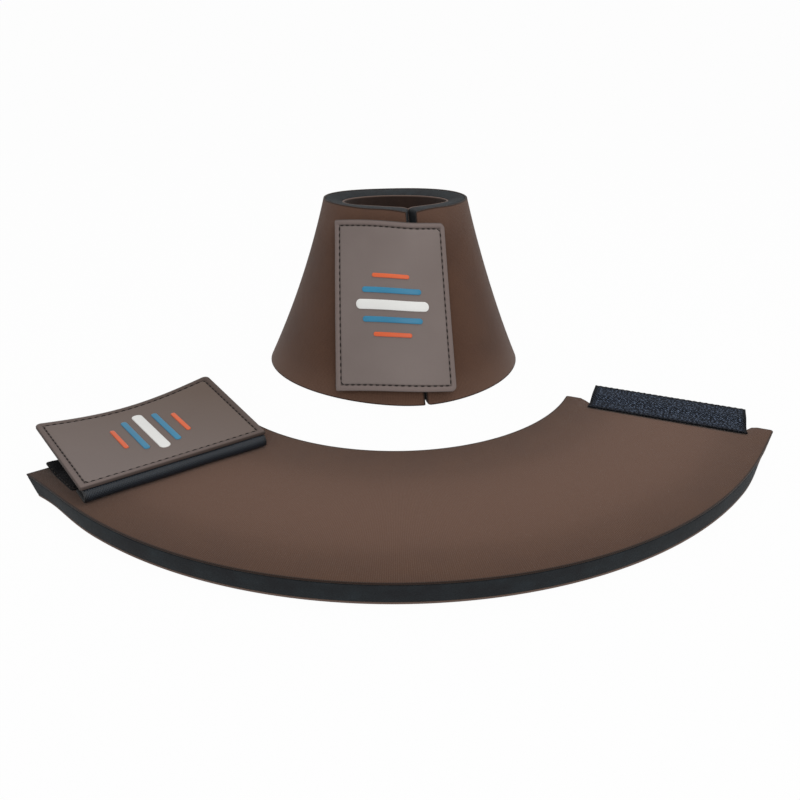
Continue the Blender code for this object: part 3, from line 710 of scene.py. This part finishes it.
def pinch(boot, flat):
    """How far the strap's seam presses the wall's outer face down."""
    angle = PATTERN_ANGLE / 2 - flat[:, 0] / MEAN_RADIUS
    inboard = flat[:, 1] * np.sin(angle)
    along = flat[:, 1] * np.cos(angle) - STRAP_Y
    share = step(along, -9 * MM, 2 * MM)
    share *= 1 - step(along, STRAP_LENGTH - 5 * MM, STRAP_LENGTH + 2 * MM)
    return boot.pinch_depth * share * (1 - step(inboard, -2 * MM, STRAP_SEWN + 3 * MM))


def round_off(flat, low, high, radii):
    """Moves the points of a rectangle's corner squares into quarter circles, of the one
    radius at the side of low x and the other at the side of high x."""
    for sx, radius in enumerate(radii):
        for sy in (0, 1):
            outwards = np.array([2 * sx - 1, 2 * sy - 1])
            inner = np.array([(low, high)[sx][0], (low, high)[sy][1]]) - radius * outwards
            away = (flat[:, :2] - inner) * outwards
            inside = (away > 0).all(axis=1)
            length = np.maximum(np.hypot(*away[inside].T), 1e-9)
            scale = away[inside].max(axis=1) / length
            flat[inside, :2] = inner + (flat[inside, :2] - inner) * scale[:, None]


def store_rim(piece, low, high):
    """Keeps each point's distance from the flat piece's border in the attribute rim."""
    flat = coordinates(piece)
    store(piece, "rim", np.minimum(flat[:, :2] - low, high - flat[:, :2]).min(axis=1))


def store_wrap(piece, boot):
    """Keeps in the attribute wrap how much of the jersey is pulled round the cut: near an
    end of the wall and towards the hem, further in at the outer face."""
    flat = coordinates(piece)
    from_end = RING_LENGTH / 2 - np.abs(flat[:, 0])
    reach = np.where(flat[:, 0] > 0, *boot.wrap) * MM
    upper = np.clip((flat[:, 2] + WALL) / WALL, 0, 1)
    bare = step(from_end, reach * mix(0, 0.5, upper), reach * mix(0.5, 1.2, upper))
    towards_hem = step(flat[:, 1], HEM_RADIUS - 60 * MM, HEM_RADIUS - 25 * MM)
    store(piece, "wrap", (reach > 1 * MM) * (1 - bare) * towards_hem)


def wall_layer(boot, layer, base, thickness, rim_round, steps, rows, material_made):
    """A layer with its underside at the level base, in a grid of steps by rows."""
    start_alone()
    bpy.ops.mesh.primitive_grid_add(x_subdivisions=steps, y_subdivisions=rows, size=1)
    piece = sized((RING_LENGTH, SLANT, 1), (0, MEAN_RADIUS, base))
    edit()
    lines = [line * MM for line in RIM_LINES]
    cut_lines([side * (RING_LENGTH / 2 - line) for side in (-1, 1) for line in lines], (1, 0, 0))
    cut_lines([MOUTH_RADIUS + line for line in lines], (0, 1, 0))
    cut_lines([HEM_RADIUS - line for line in lines], (0, 1, 0))
    done()
    low, high = np.array([-RING_LENGTH / 2, MOUTH_RADIUS]), np.array([RING_LENGTH / 2, HEM_RADIUS])
    flat = coordinates(piece)
    round_off(flat, low, high, boot.corner_radii)
    move_vertices(piece, flat)
    store_rim(piece, low, high)
    thicken(piece, thickness, rim_round, segments=3)
    store_wrap(piece, boot)

    def place(flat):
        level = flat[:, 2]
        depth = pinch(boot, flat) * np.clip((level + WALL) / WALL, 0, 1)
        return boot.wall_point(np.column_stack([flat[:, :2], level - depth]))

    lay(piece, f"{boot.name}_boot_{layer}", place, material_made)
    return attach(piece, f"{boot.name}_boot")


# %% The layers of both boots
for boot in BOOTS:
    lining = wall_layer(boot, "lining", -WALL, LINING, 0.3 * MM, 150, 30, lining_brown)
    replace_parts(lining, f"{boot.name}_lining")
    core = wall_layer(boot, "foam", LINING + SEAT - WALL, CORE, 0.9 * MM, 150, 30, foam_black)
    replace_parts(core, f"{boot.name}_foam_core")
    fabric = fabric_brown if boot.name == "closed" else fabric_open
    outer = wall_layer(boot, "jersey", -OUTER, OUTER, 0.45 * MM, 190, 40, fabric)
    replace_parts(outer, f"{boot.name}_outer_fabric")

# %% [markdown]
# ## Thread
# The seams are sewn in stitches of 2 to 3 mm, brown-black on the flap and the loop tape
# and navy on the strap. One stitch is a stretched sphere with a few dozen faces. It is
# copied along each seam while the seam is still flat.

# %% One stitch, and a row of them
STITCH_WIDTH = 0.9 * MM
STITCH_SHARE = 0.66
STITCH_BEND = 0.18 * MM


def one_stitch(length):
    """A stitch along x, whose two ends dip into the cloth."""
    start_alone()
    bpy.ops.mesh.primitive_uv_sphere_add(segments=8, ring_count=6, radius=0.5)
    bpy.context.object.rotation_euler = (0, math.pi / 2, 0)
    stitch = sized((STITCH_WIDTH, STITCH_WIDTH, length), (0, 0, 0))
    flat = coordinates(stitch)
    flat[:, 2] -= STITCH_BEND * (2 * flat[:, 0] / length) ** 2
    move_vertices(stitch, flat)
    return stitch


def sew(path, pitch, level, closed_path=False):
    """Copies of the stitch along a path of (x, y) points, joined into one piece."""
    stitch = one_stitch(pitch * STITCH_SHARE)
    points = np.array(list(path) + ([path[0]] if closed_path else []), float)
    run = np.concatenate([[0], np.cumsum(np.hypot(*np.diff(points, axis=0).T))])
    count = max(1, round(run[-1] / pitch))
    copies = []
    for number in range(count):
        middle = (number + 0.5) * run[-1] / count
        first, last = [np.array([np.interp(middle + side * 0.4 * pitch, run, points[:, i])
                                 for i in (0, 1)]) for side in (-1, 1)]
        copy = stitch.copy()
        copy.data = stitch.data.copy()
        copy.location = (*(first + last) / 2, level)
        copy.rotation_euler = (0, 0, math.atan2(*(last - first)[::-1]))
        bpy.context.scene.collection.objects.link(copy)
        copies.append(copy)
    bpy.data.objects.remove(stitch, do_unlink=True)
    start_alone()
    for copy in copies:
        copy.select_set(True)
    bpy.context.view_layer.objects.active = copies[0]
    bpy.ops.object.join()
    bpy.ops.object.transform_apply(location=True, rotation=True, scale=True)
    return copies[0]


print("a stitch is", STITCH_WIDTH / MM, "mm wide")

# %% [markdown]
# ## The flap
# The flap is one moulding: a plate with a rounded lip all round, a stitch channel inside
# the lip and a flat field. A plane is cut into strips, close together over lip and channel,
# and its corners are rounded. Solidify gives the plate, and the points of its upper face
# are lifted by their distance from the edge, which draws the moulded profile.

# %% The flap's profile, cut flat
LIP_PROFILE = (
    (0, -0.05), (0.25, 0.35), (0.55, 0.62), (1.0, 0.82), (1.7, 0.92), (2.5, 0.9), (3.1, 0.8),
    (3.5, 0.58), (3.8, 0.28), (4.05, 0.08), (4.4, 0.0), (4.75, 0.06), (5.0, 0.2), (5.3, 0.38),
    (5.7, 0.48), (7.0, 0.5),
)
FLAP_BODY = 1.3 * MM
FLAP_RADII = (1.5 * MM, 4.5 * MM)
FIELD_STRIP = 3 * MM


def inset_of(flat):
    """How far each point of the flap lies inside its rounded outline."""
    radius = np.where(flat[:, 0] > FLAP_WIDTH / 2, *FLAP_RADII[::-1])
    half = np.array([FLAP_WIDTH, FLAP_LENGTH]) / 2
    beyond = np.abs(flat[:, :2] - half) - half + radius[:, None]
    return radius - np.hypot(*np.maximum(beyond, 0).T) - np.minimum(beyond.max(axis=1), 0)


def flat_flap():
    start_alone()
    bpy.ops.mesh.primitive_plane_add(size=1)
    piece = sized((FLAP_WIDTH, FLAP_LENGTH, 1), (FLAP_WIDTH / 2, FLAP_LENGTH / 2, 0))
    edit()
    lines = [line * MM for line, _ in LIP_PROFILE[1:]]
    for width, direction in ((FLAP_WIDTH, (1, 0, 0)), (FLAP_LENGTH, (0, 1, 0))):
        cut_lines(lines + [width - line for line in lines], direction)
        cut_lines(np.arange(11 * MM, width - 10 * MM, FIELD_STRIP), direction)
    done()
    flat = coordinates(piece)
    round_off(flat, np.zeros(2), np.array([FLAP_WIDTH, FLAP_LENGTH]), FLAP_RADII)
    move_vertices(piece, flat)
    modify(piece, "SOLIDIFY", thickness=FLAP_BODY, offset=1)
    flat = coordinates(piece)
    inset = inset_of(flat)
    store(piece, "rim", inset)
    lift = np.interp(inset / MM, *zip(*LIP_PROFILE)) * MM
    flat[:, 2] += np.where(flat[:, 2] > FLAP_BODY / 2, lift, 0)
    move_vertices(piece, flat)
    return piece


def flap_place(boot):
    """Where a flat point of the flap goes: x from the sewn edge, y from the mouth side."""
    corners = np.array(boot.flap_corners) * MM

    def along_wall(flat):
        u, v = flat[:, 0] / FLAP_WIDTH, flat[:, 1] / FLAP_LENGTH
        top = mix(corners[0], corners[1], u[:, None])
        hem = mix(corners[3], corners[2], u[:, None])
        inboard, radial = mix(top, hem, v[:, None]).T
        radial = radial + boot.edge_bow * (8 * u * (1 - u) - 1) * (1 - v) ** 2
        drop = (boot.flap_droop * v + boot.flap_sag * np.sin(v * math.pi)) * u
        return boot.end_point(-1, inboard, radial, boot.lift + flat[:, 2] - drop, boot.lift)

    low, high = along_wall(np.array([[0, FLAP_LENGTH, 0], [0, 0, 0]], float))
    return lambda flat: turn_about(along_wall(flat), low, high, boot.flap_rise)


for boot in BOOTS:
    moulded = flap_pvc if boot.name == "closed" else flap_painted_shade
    flap = lay(flat_flap(), f"{boot.name}_flap_moulding", flap_place(boot), moulded)
    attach(flap, f"{boot.name}_flap_body")
    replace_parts(flap, f"{boot.name}_flap")

# %% The flap's border stitching
CHANNEL_INSET = 4.4 * MM
SEAM_RADII = (0.3 * MM, 2 * MM)


def channel_path():
    """The rounded rectangle that runs along the stitch channel."""
    points = []
    for sx, sy, start in ((0, 0, 180), (1, 0, 270), (1, 1, 0), (0, 1, 90)):
        radius = SEAM_RADII[sx]
        middle_x = (radius + CHANNEL_INSET, FLAP_WIDTH - CHANNEL_INSET - radius)[sx]
        middle_y = (radius + CHANNEL_INSET, FLAP_LENGTH - CHANNEL_INSET - radius)[sy]
        for turn in np.radians(np.linspace(start, start + 90, 6)):
            points.append((middle_x + radius * math.cos(turn), middle_y + radius * math.sin(turn)))
    return points


for boot in BOOTS:
    seam = sew(channel_path(), 4.6 * MM, FLAP_BODY + 0.3 * MM, closed_path=True)
    lay(seam, f"{boot.name}_flap_border_stitching", flap_place(boot), thread_dark)
    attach(seam, f"{boot.name}_flap_body")

# %% [markdown]
# ## The fold that hinges the flap
# A folded tape joins flap and wall: one leaf is sewn on the wall, the tape turns up and
# over in a round fold, and the other leaf is sewn under the flap's edge. A flat strip gets
# its thickness first and is then rolled. It leans out a little at the bottom, and waves
# where stitches pull it.

# %% The rolled tape
FOLD_LEAF = 13 * MM
FOLD_UPPER = 6 * MM
FOLD_THICK = 1.4 * MM
FOLD_PROUD = 2 * MM
FOLD_INSET = 1 * MM
FOLD_LEAN = 1.2 * MM
FOLD_WAVE, FOLD_WAVE_REACH = 0.25 * MM, 9 * MM


def fold_piece(boot):
    radius = (boot.lift - 2 * SEAT - FOLD_THICK) / 2
    arc = math.pi * radius
    long = FOLD_LEAF + arc + FOLD_UPPER
    start_alone()
    bpy.ops.mesh.primitive_grid_add(x_subdivisions=48, y_subdivisions=60, size=1)
    piece = sized((long, FLAP_LENGTH - 2 * FOLD_INSET, 1),
                  (long / 2, FLAP_LENGTH / 2, -FOLD_THICK / 2))
    thicken(piece, FOLD_THICK, 0.35 * MM)
    flat = coordinates(piece)
    from_end = np.minimum(flat[:, 1], FLAP_LENGTH - flat[:, 1]) - FOLD_INSET
    # rim is small along the leaf, round the lower part of the fold and at the ends, where the binding's
    # dark edge colour paints the shade under and inside the fold.
    store(piece, "rim", np.minimum(np.clip(flat[:, 0] - FOLD_LEAF, 0, 1), from_end + 1.2 * MM))
    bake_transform(piece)
    on_flap = flap_place(boot)

    def roll(flat):
        """Along the leaf towards the sewn edge, round the fold and back under the flap."""
        run = np.clip(flat[:, 0] - FOLD_LEAF, 0, arc)
        turn = run / radius
        wave = FOLD_WAVE * np.sin(flat[:, 1] / FOLD_WAVE_REACH) * np.sin(turn)
        out = radius + wave - flat[:, 2]
        before = np.clip(FOLD_LEAF - flat[:, 0], 0, None)
        after = np.clip(flat[:, 0] - FOLD_LEAF - arc, 0, None)
        x = radius + FOLD_THICK / 2 - FOLD_PROUD - out * np.sin(turn) + before + after
        x -= FOLD_LEAN * (1 + np.cos(turn)) / 2
        z = SEAT + FOLD_THICK / 2 + radius - out * np.cos(turn)
        return np.column_stack([x, flat[:, 1], z - boot.lift])

    lay(piece, f"{boot.name}_flap_fold_tape", lambda flat: on_flap(roll(flat)), binding_navy)
    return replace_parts(piece, f"{boot.name}_flap_fold")


for boot in BOOTS:
    fold_piece(boot)

# %% [markdown]
# ## Tapes
# Loop tape is sewn on the wall where the strap lands, and hook tape under the flap and the
# strap. Each is a thin woven ground with a pile inside a bare edge. A plane with bevelled
# corners is extruded, the pile is inset from the edge and raised, and its points are moved
# a little by a fixed random seed, so the pile isn't dead flat.

# %% A plate in steps, and a tape with its pile
def stepped_plate(size, centre, corner, segments, height, insets):
    """A plate with rounded corners. insets are the width and rise of each step from its
    edge to its top. It is left in edit mode, ready for its bend lines."""
    start_alone()
    bpy.ops.mesh.primitive_plane_add(size=1)
    piece = sized((*size, 1), centre)
    edit("VERT")
    bpy.ops.mesh.bevel(offset=corner, offset_type="OFFSET", segments=segments, affect="VERTICES")
    bpy.ops.mesh.select_mode(type="FACE")
    bpy.ops.mesh.select_all(action="SELECT")
    bpy.ops.mesh.extrude_region_move(TRANSFORM_OT_translate={"value": (0, 0, height)})
    mesh = bmesh.from_edit_mesh(piece.data)
    for face in mesh.faces:
        face.select = False
    # The insets start from the largest face that looks up.
    up = [face for face in mesh.faces if face.normal.z > 0.9]
    max(up, key=lambda face: face.calc_area()).select = True
    bmesh.update_edit_mesh(piece.data)
    for width, rise in insets:
        bpy.ops.mesh.inset(thickness=width, depth=rise)
    return piece


def tape_plate(x, y, width, length, base, ground, pile, rough, cells, down=False):
    """A flat tape whose lowest corner is at x, y. Its pile stands up, or hangs down, and
    its points, cells apart, are raised and lowered by up to rough."""
    edge = ((1.3 * MM, 0), (0.3 * MM, pile * 0.6), (0.5 * MM, pile * 0.4))
    piece = stepped_plate((width, length), (x + width / 2, y + length / 2, 0), 2 * MM, 4, ground, edge)
    cut_lines(np.arange(x + cells, x + width - cells / 2, cells), (1, 0, 0))
    cut_lines(np.arange(y + cells, y + length - cells / 2, cells), (0, 1, 0))
    done()
    flat = coordinates(piece)
    random = np.random.default_rng(7)
    on_pile = flat[:, 2] > ground + pile * 0.9
    flat[on_pile, 2] += random.uniform(-rough, rough, on_pile.sum())
    if down:
        flat[:, 2] = ground + pile - flat[:, 2]
    flat[:, 2] += base
    move_vertices(piece, flat)
    return piece


# %% Landing pads on the walls
PAD_WIDTH = 38 * MM
PAD_END_MARGIN, PAD_TOP_MARGIN = 0.5 * MM, 8 * MM
PAD_SEAM_INSET = 0.8 * MM
CURL_WIDTH = 16 * MM
LOOPS = {"base": SEAT, "ground": 0.8 * MM, "pile": 1.0 * MM, "rough": 0.16 * MM, "cells": 2.0 * MM}
for boot in BOOTS:
    pad_x, pad_y = PAD_END_MARGIN + boot.pad_setback, MOUTH_RADIUS + PAD_TOP_MARGIN
    pad = tape_plate(pad_x, pad_y, PAD_WIDTH, boot.pad_length, **LOOPS)

    def on_wall(flat, boot=boot, start=pad_x, first=pad_y):
        """The open boot's pad is stretched down at its outer corner, so that its black stands for the
        flap's shadow beside it, and curls up a little there.
        """
        outer = 1 - (flat[:, 0] - start) / PAD_WIDTH
        shadow_stretch = boot.pad_shadow_stretch * outer * (flat[:, 1] - first) / boot.pad_length
        curl = boot.pad_curl * (1 - step(flat[:, 0] - start, 0, CURL_WIDTH))
        curl *= step(flat[:, 1], HEM_RADIUS - 40 * MM, HEM_RADIUS - 10 * MM)
        return boot.end_point(-1, flat[:, 0], flat[:, 1] + shadow_stretch, flat[:, 2] + curl)

    lay(pad, f"{boot.name}_loop_tape", on_wall, loop_black)
    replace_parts(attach(pad, f"{boot.name}_boot"), f"{boot.name}_landing_pad")
    left, right = pad_x + PAD_SEAM_INSET, pad_x + PAD_WIDTH - PAD_SEAM_INSET
    low, high = pad_y + PAD_SEAM_INSET, pad_y + boot.pad_length - PAD_SEAM_INSET
    border = ((left, low), (right, low), (right, high), (left, high))
    seam = sew(border, 3.6 * MM, SEAT + 0.85 * MM, closed_path=True)
    lay(seam, f"{boot.name}_loop_tape_stitching", on_wall, thread_dark)
    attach(seam, f"{boot.name}_boot")

# %% Hook tape under the flaps
BACKING_INSET = 3 * MM
BACKING_WIDTH = 52 * MM
HOOKS = {"base": -SEAT - 0.8 * MM, "ground": 0.4 * MM, "pile": 0.4 * MM, "rough": 0.08 * MM,
         "cells": 2.6 * MM, "down": True}
for boot in BOOTS:
    hooks = tape_plate(FLAP_WIDTH - BACKING_INSET - BACKING_WIDTH, BACKING_INSET, BACKING_WIDTH,
                       FLAP_LENGTH - 2 * BACKING_INSET, **HOOKS)
    lay(hooks, f"{boot.name}_flap_hook_tape", flap_place(boot), hook_black)
    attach(hooks, f"{boot.name}_flap_body")
    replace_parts(hooks, f"{boot.name}_flap_backing")

# %% [markdown]
# ## The strap
# The strap is woven webbing. A fine grid gives it its ribs as real relief. Its free edge
# is scalloped where the weft turns back, 4 mm apart, and its sewn edge more faintly. On
# the open boot it dips with the pinched foam where it is sewn down. Its two rows of
# stitches run along the sewn part.

# %% The webbing strap and its hook tape
STRAP_WIDTH = 35 * MM
STRAP_THICK = 1.4 * MM
FREE_EDGE = STRAP_SEWN - STRAP_WIDTH
RIB_HEIGHT, RIB_PITCH, YARN_PITCH = 0.09 * MM, 2.2 * MM, 3.1 * MM


def strap_place(boot):
    """Where a flat point of the strap goes: x inboard from the wall's end, y from the apex."""
    hinge_y = np.array([STRAP_Y + STRAP_LENGTH, STRAP_Y])
    low, high = boot.end_point(1, np.full(2, STRAP_SEWN), hinge_y, np.full(2, SEAT + STRAP_THICK))
    step_start = STRAP_SEWN / 2
    dip, side_dip = boot.strap_dips
    shear_sewn, shear_free, shear_mouth = boot.strap_shears

    def place(flat):
        share = np.clip((step_start - flat[:, 0]) / (step_start - boot.step_end), 0, 1)
        from_side = np.minimum(flat[:, 1] - STRAP_Y, STRAP_Y + STRAP_LENGTH - flat[:, 1])
        sewn = step(flat[:, 0], -8 * MM, 3 * MM) * (1 - step(flat[:, 0], 8 * MM, STRAP_SEWN))
        dipped = (dip + side_dip * (1 - step(from_side, 0, 12 * MM))) * sewn
        across, along = (STRAP_SEWN - flat[:, 0]) / STRAP_WIDTH, (flat[:, 1] - STRAP_Y) / STRAP_LENGTH
        shear = mix(shear_sewn, shear_free, across) - shear_mouth * (1 - across) * (1 - along)
        level = SEAT + flat[:, 2] + boot.strap_step * share - dipped
        places = boot.end_point(1, flat[:, 0], flat[:, 1] + shear, level)
        return turn_about(places, low, high, -boot.strap_rise)

    return place


def scallop(flat, edge, height, pitch):
    """How far points near an edge move for the loops of the weft, pitch apart."""
    near = 1 - step(np.abs(flat[:, 0] - edge), 0, 1.5 * MM)
    return height * near * (1 + np.cos(flat[:, 1] / pitch * math.tau)) / 2


def webbing():
    start_alone()
    bpy.ops.mesh.primitive_grid_add(x_subdivisions=70, y_subdivisions=214, size=1)
    piece = sized((STRAP_WIDTH, STRAP_LENGTH, 1),
                  (STRAP_SEWN - STRAP_WIDTH / 2, STRAP_Y + STRAP_LENGTH / 2, 0.15 * MM))
    flat = coordinates(piece)
    flat[:, 0] += scallop(flat, FREE_EDGE, 0.55 * MM, 4 * MM)
    flat[:, 0] -= scallop(flat, STRAP_SEWN, 0.3 * MM, 5.3 * MM)
    move_vertices(piece, flat)
    thicken(piece, STRAP_THICK - 0.3 * MM, 0.3 * MM)
    flat = coordinates(piece)
    yarns = 0.7 + 0.3 * np.sin(flat[:, 0] / YARN_PITCH * math.tau)
    ribs = np.sin(flat[:, 1] / RIB_PITCH * math.tau) * yarns
    flat[:, 2] += RIB_HEIGHT * ribs * np.sign(flat[:, 2] - STRAP_THICK / 2)
    move_vertices(piece, flat)
    store_rim(piece, np.array([FREE_EDGE, STRAP_Y]), np.array([STRAP_SEWN, STRAP_Y + STRAP_LENGTH]))
    return piece


for boot in BOOTS:
    strap = lay(webbing(), f"{boot.name}_strap_webbing", strap_place(boot), webbing_navy)
    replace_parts(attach(strap, f"{boot.name}_strap_body"), f"{boot.name}_strap")
    first = FREE_EDGE + 1 * MM
    hooks = tape_plate(first, STRAP_Y + 1 * MM, boot.step_end - first, STRAP_LENGTH - 2 * MM, **HOOKS)
    lay(hooks, f"{boot.name}_strap_hook_tape", strap_place(boot), hook_black)
    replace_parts(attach(hooks, f"{boot.name}_strap_body"), f"{boot.name}_strap_hook")
    for number, x in enumerate((12.4 * MM, 9.4 * MM), start=1):
        row = ((x, STRAP_Y + 1.5 * MM), (x, STRAP_Y + STRAP_LENGTH - 1.5 * MM))
        seam = sew(row, 3.2 * MM, STRAP_THICK - 0.15 * MM)
        lay(seam, f"{boot.name}_strap_seam_{number}", strap_place(boot), thread_navy)
        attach(seam, f"{boot.name}_strap_body")

# %% [markdown]
# ## The colour bars
# Five bars of coloured PVC are moulded onto the flap's field. Each is a plate with rounded
# ends, in three small steps for a soft crown, and cut every 3 mm so that it can bend.

# %% Five bars on each flap
BAR_PITCH = 10.5 * MM
BAR_BASE, BAR_HEIGHT = FLAP_BODY + 0.4 * MM, 0.55 * MM
BAR_END_ROUND = 0.48
BAR_STEPS = ((0.12 * MM, 0.12 * MM), (0.2 * MM, 0.1 * MM), (0.35 * MM, 0.06 * MM))
BARS = ((-2, 28, 3, "orange"), (-1, 44, 4, "blue"), (0, 54, 7, "white"), (1, 44, 4, "blue"),
        (2, 28, 3, "orange"))
for boot in BOOTS:
    for number, (place_step, length, width, colour) in enumerate(BARS, start=1):
        middle = (FLAP_WIDTH / 2, FLAP_LENGTH / 2 + place_step * BAR_PITCH, BAR_BASE)
        bar = stepped_plate((length * MM, width * MM), middle, width * MM * BAR_END_ROUND, 7,
                            BAR_HEIGHT, BAR_STEPS)
        cut_lines(np.arange(3, 90, 3) * MM, (1, 0, 0))
        done()
        lay(bar, f"{boot.name}_moulded_bar_{number}", flap_place(boot), bar_pvc[colour])
        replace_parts(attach(bar, f"{boot.name}_flap_body"), f"{boot.name}_bar_{number}")

# %% [markdown]
# ## Floor and light
# The photograph has a white ground and soft light from above. More light would make the
# ground white and burn the object. A Light Path node instead gives the camera and the
# reflections a whiter floor and world than the ones that light the object.

# %% Floor, world and lamps
def seen_directly(tree, *rays):
    """1 for the rays of these kinds and 0 for all others."""
    path = add(tree, "LightPath")
    seen = path.outputs[rays[0]]
    for ray in rays[1:]:
        seen = add(tree, "Math", {0: seen, 1: path.outputs[ray]}, operation="MAXIMUM")
    return seen


start_alone()
bpy.ops.mesh.primitive_plane_add(size=60, location=(0, 0, -0.0006))
floor = bpy.context.object
floor.name = "floor"
floor_paint, tree, shader = new_material("floor_white", 0.9, 0.5)
shader.inputs["Base Color"].default_value = linear("#d6d6d6")
seen = seen_directly(tree, "Is Camera Ray", "Is Glossy Ray")
share = add(tree, "Math", {0: seen}, operation="MULTIPLY", in_1=0.97)
white = add(tree, "Emission", in_Color=(1, 1, 1, 1), in_Strength=1.0)
both = add(tree, "MixShader", {0: share, 1: shader, 2: white})
wire(tree, both, tree.nodes["Material Output"].inputs["Surface"])
floor.data.materials.append(floor_paint)

world = bpy.data.worlds.new("studio")
bpy.context.scene.world = world
world.use_nodes = True
tree = world.node_tree
seen = seen_directly(tree, "Is Camera Ray", "Is Glossy Ray", "Is Transmission Ray")
strength = add(tree, "MapRange", {"Value": seen}, in_3=0.5, in_4=1.0)
wire(tree, strength, tree.nodes["Background"].inputs["Strength"])
tree.nodes["Background"].inputs["Color"].default_value = (1, 1, 1, 1)


def lamp(name, place, target, watts):
    """A soft square lamp, 0.9 m wide, that looks at target."""
    made = bpy.data.objects.new(name, bpy.data.lights.new(name, "AREA"))
    made.data.size = 0.9
    made.data.energy = watts
    made.location = place
    made.rotation_euler = (Vector(target) - Vector(place)).to_track_quat("-Z", "Y").to_euler()
    bpy.context.scene.collection.objects.link(made)


lamp("lamp_above", (0.4, -0.1, 1.2), (0.05, -0.1, 0), 4.7)
lamp("lamp_front", (0.05, -1.35, 0.85), (0, 0, 0.05), 9.2)
bpy.context.scene.view_settings.view_transform = "Standard"
print("lit by 2 lamps and the world")
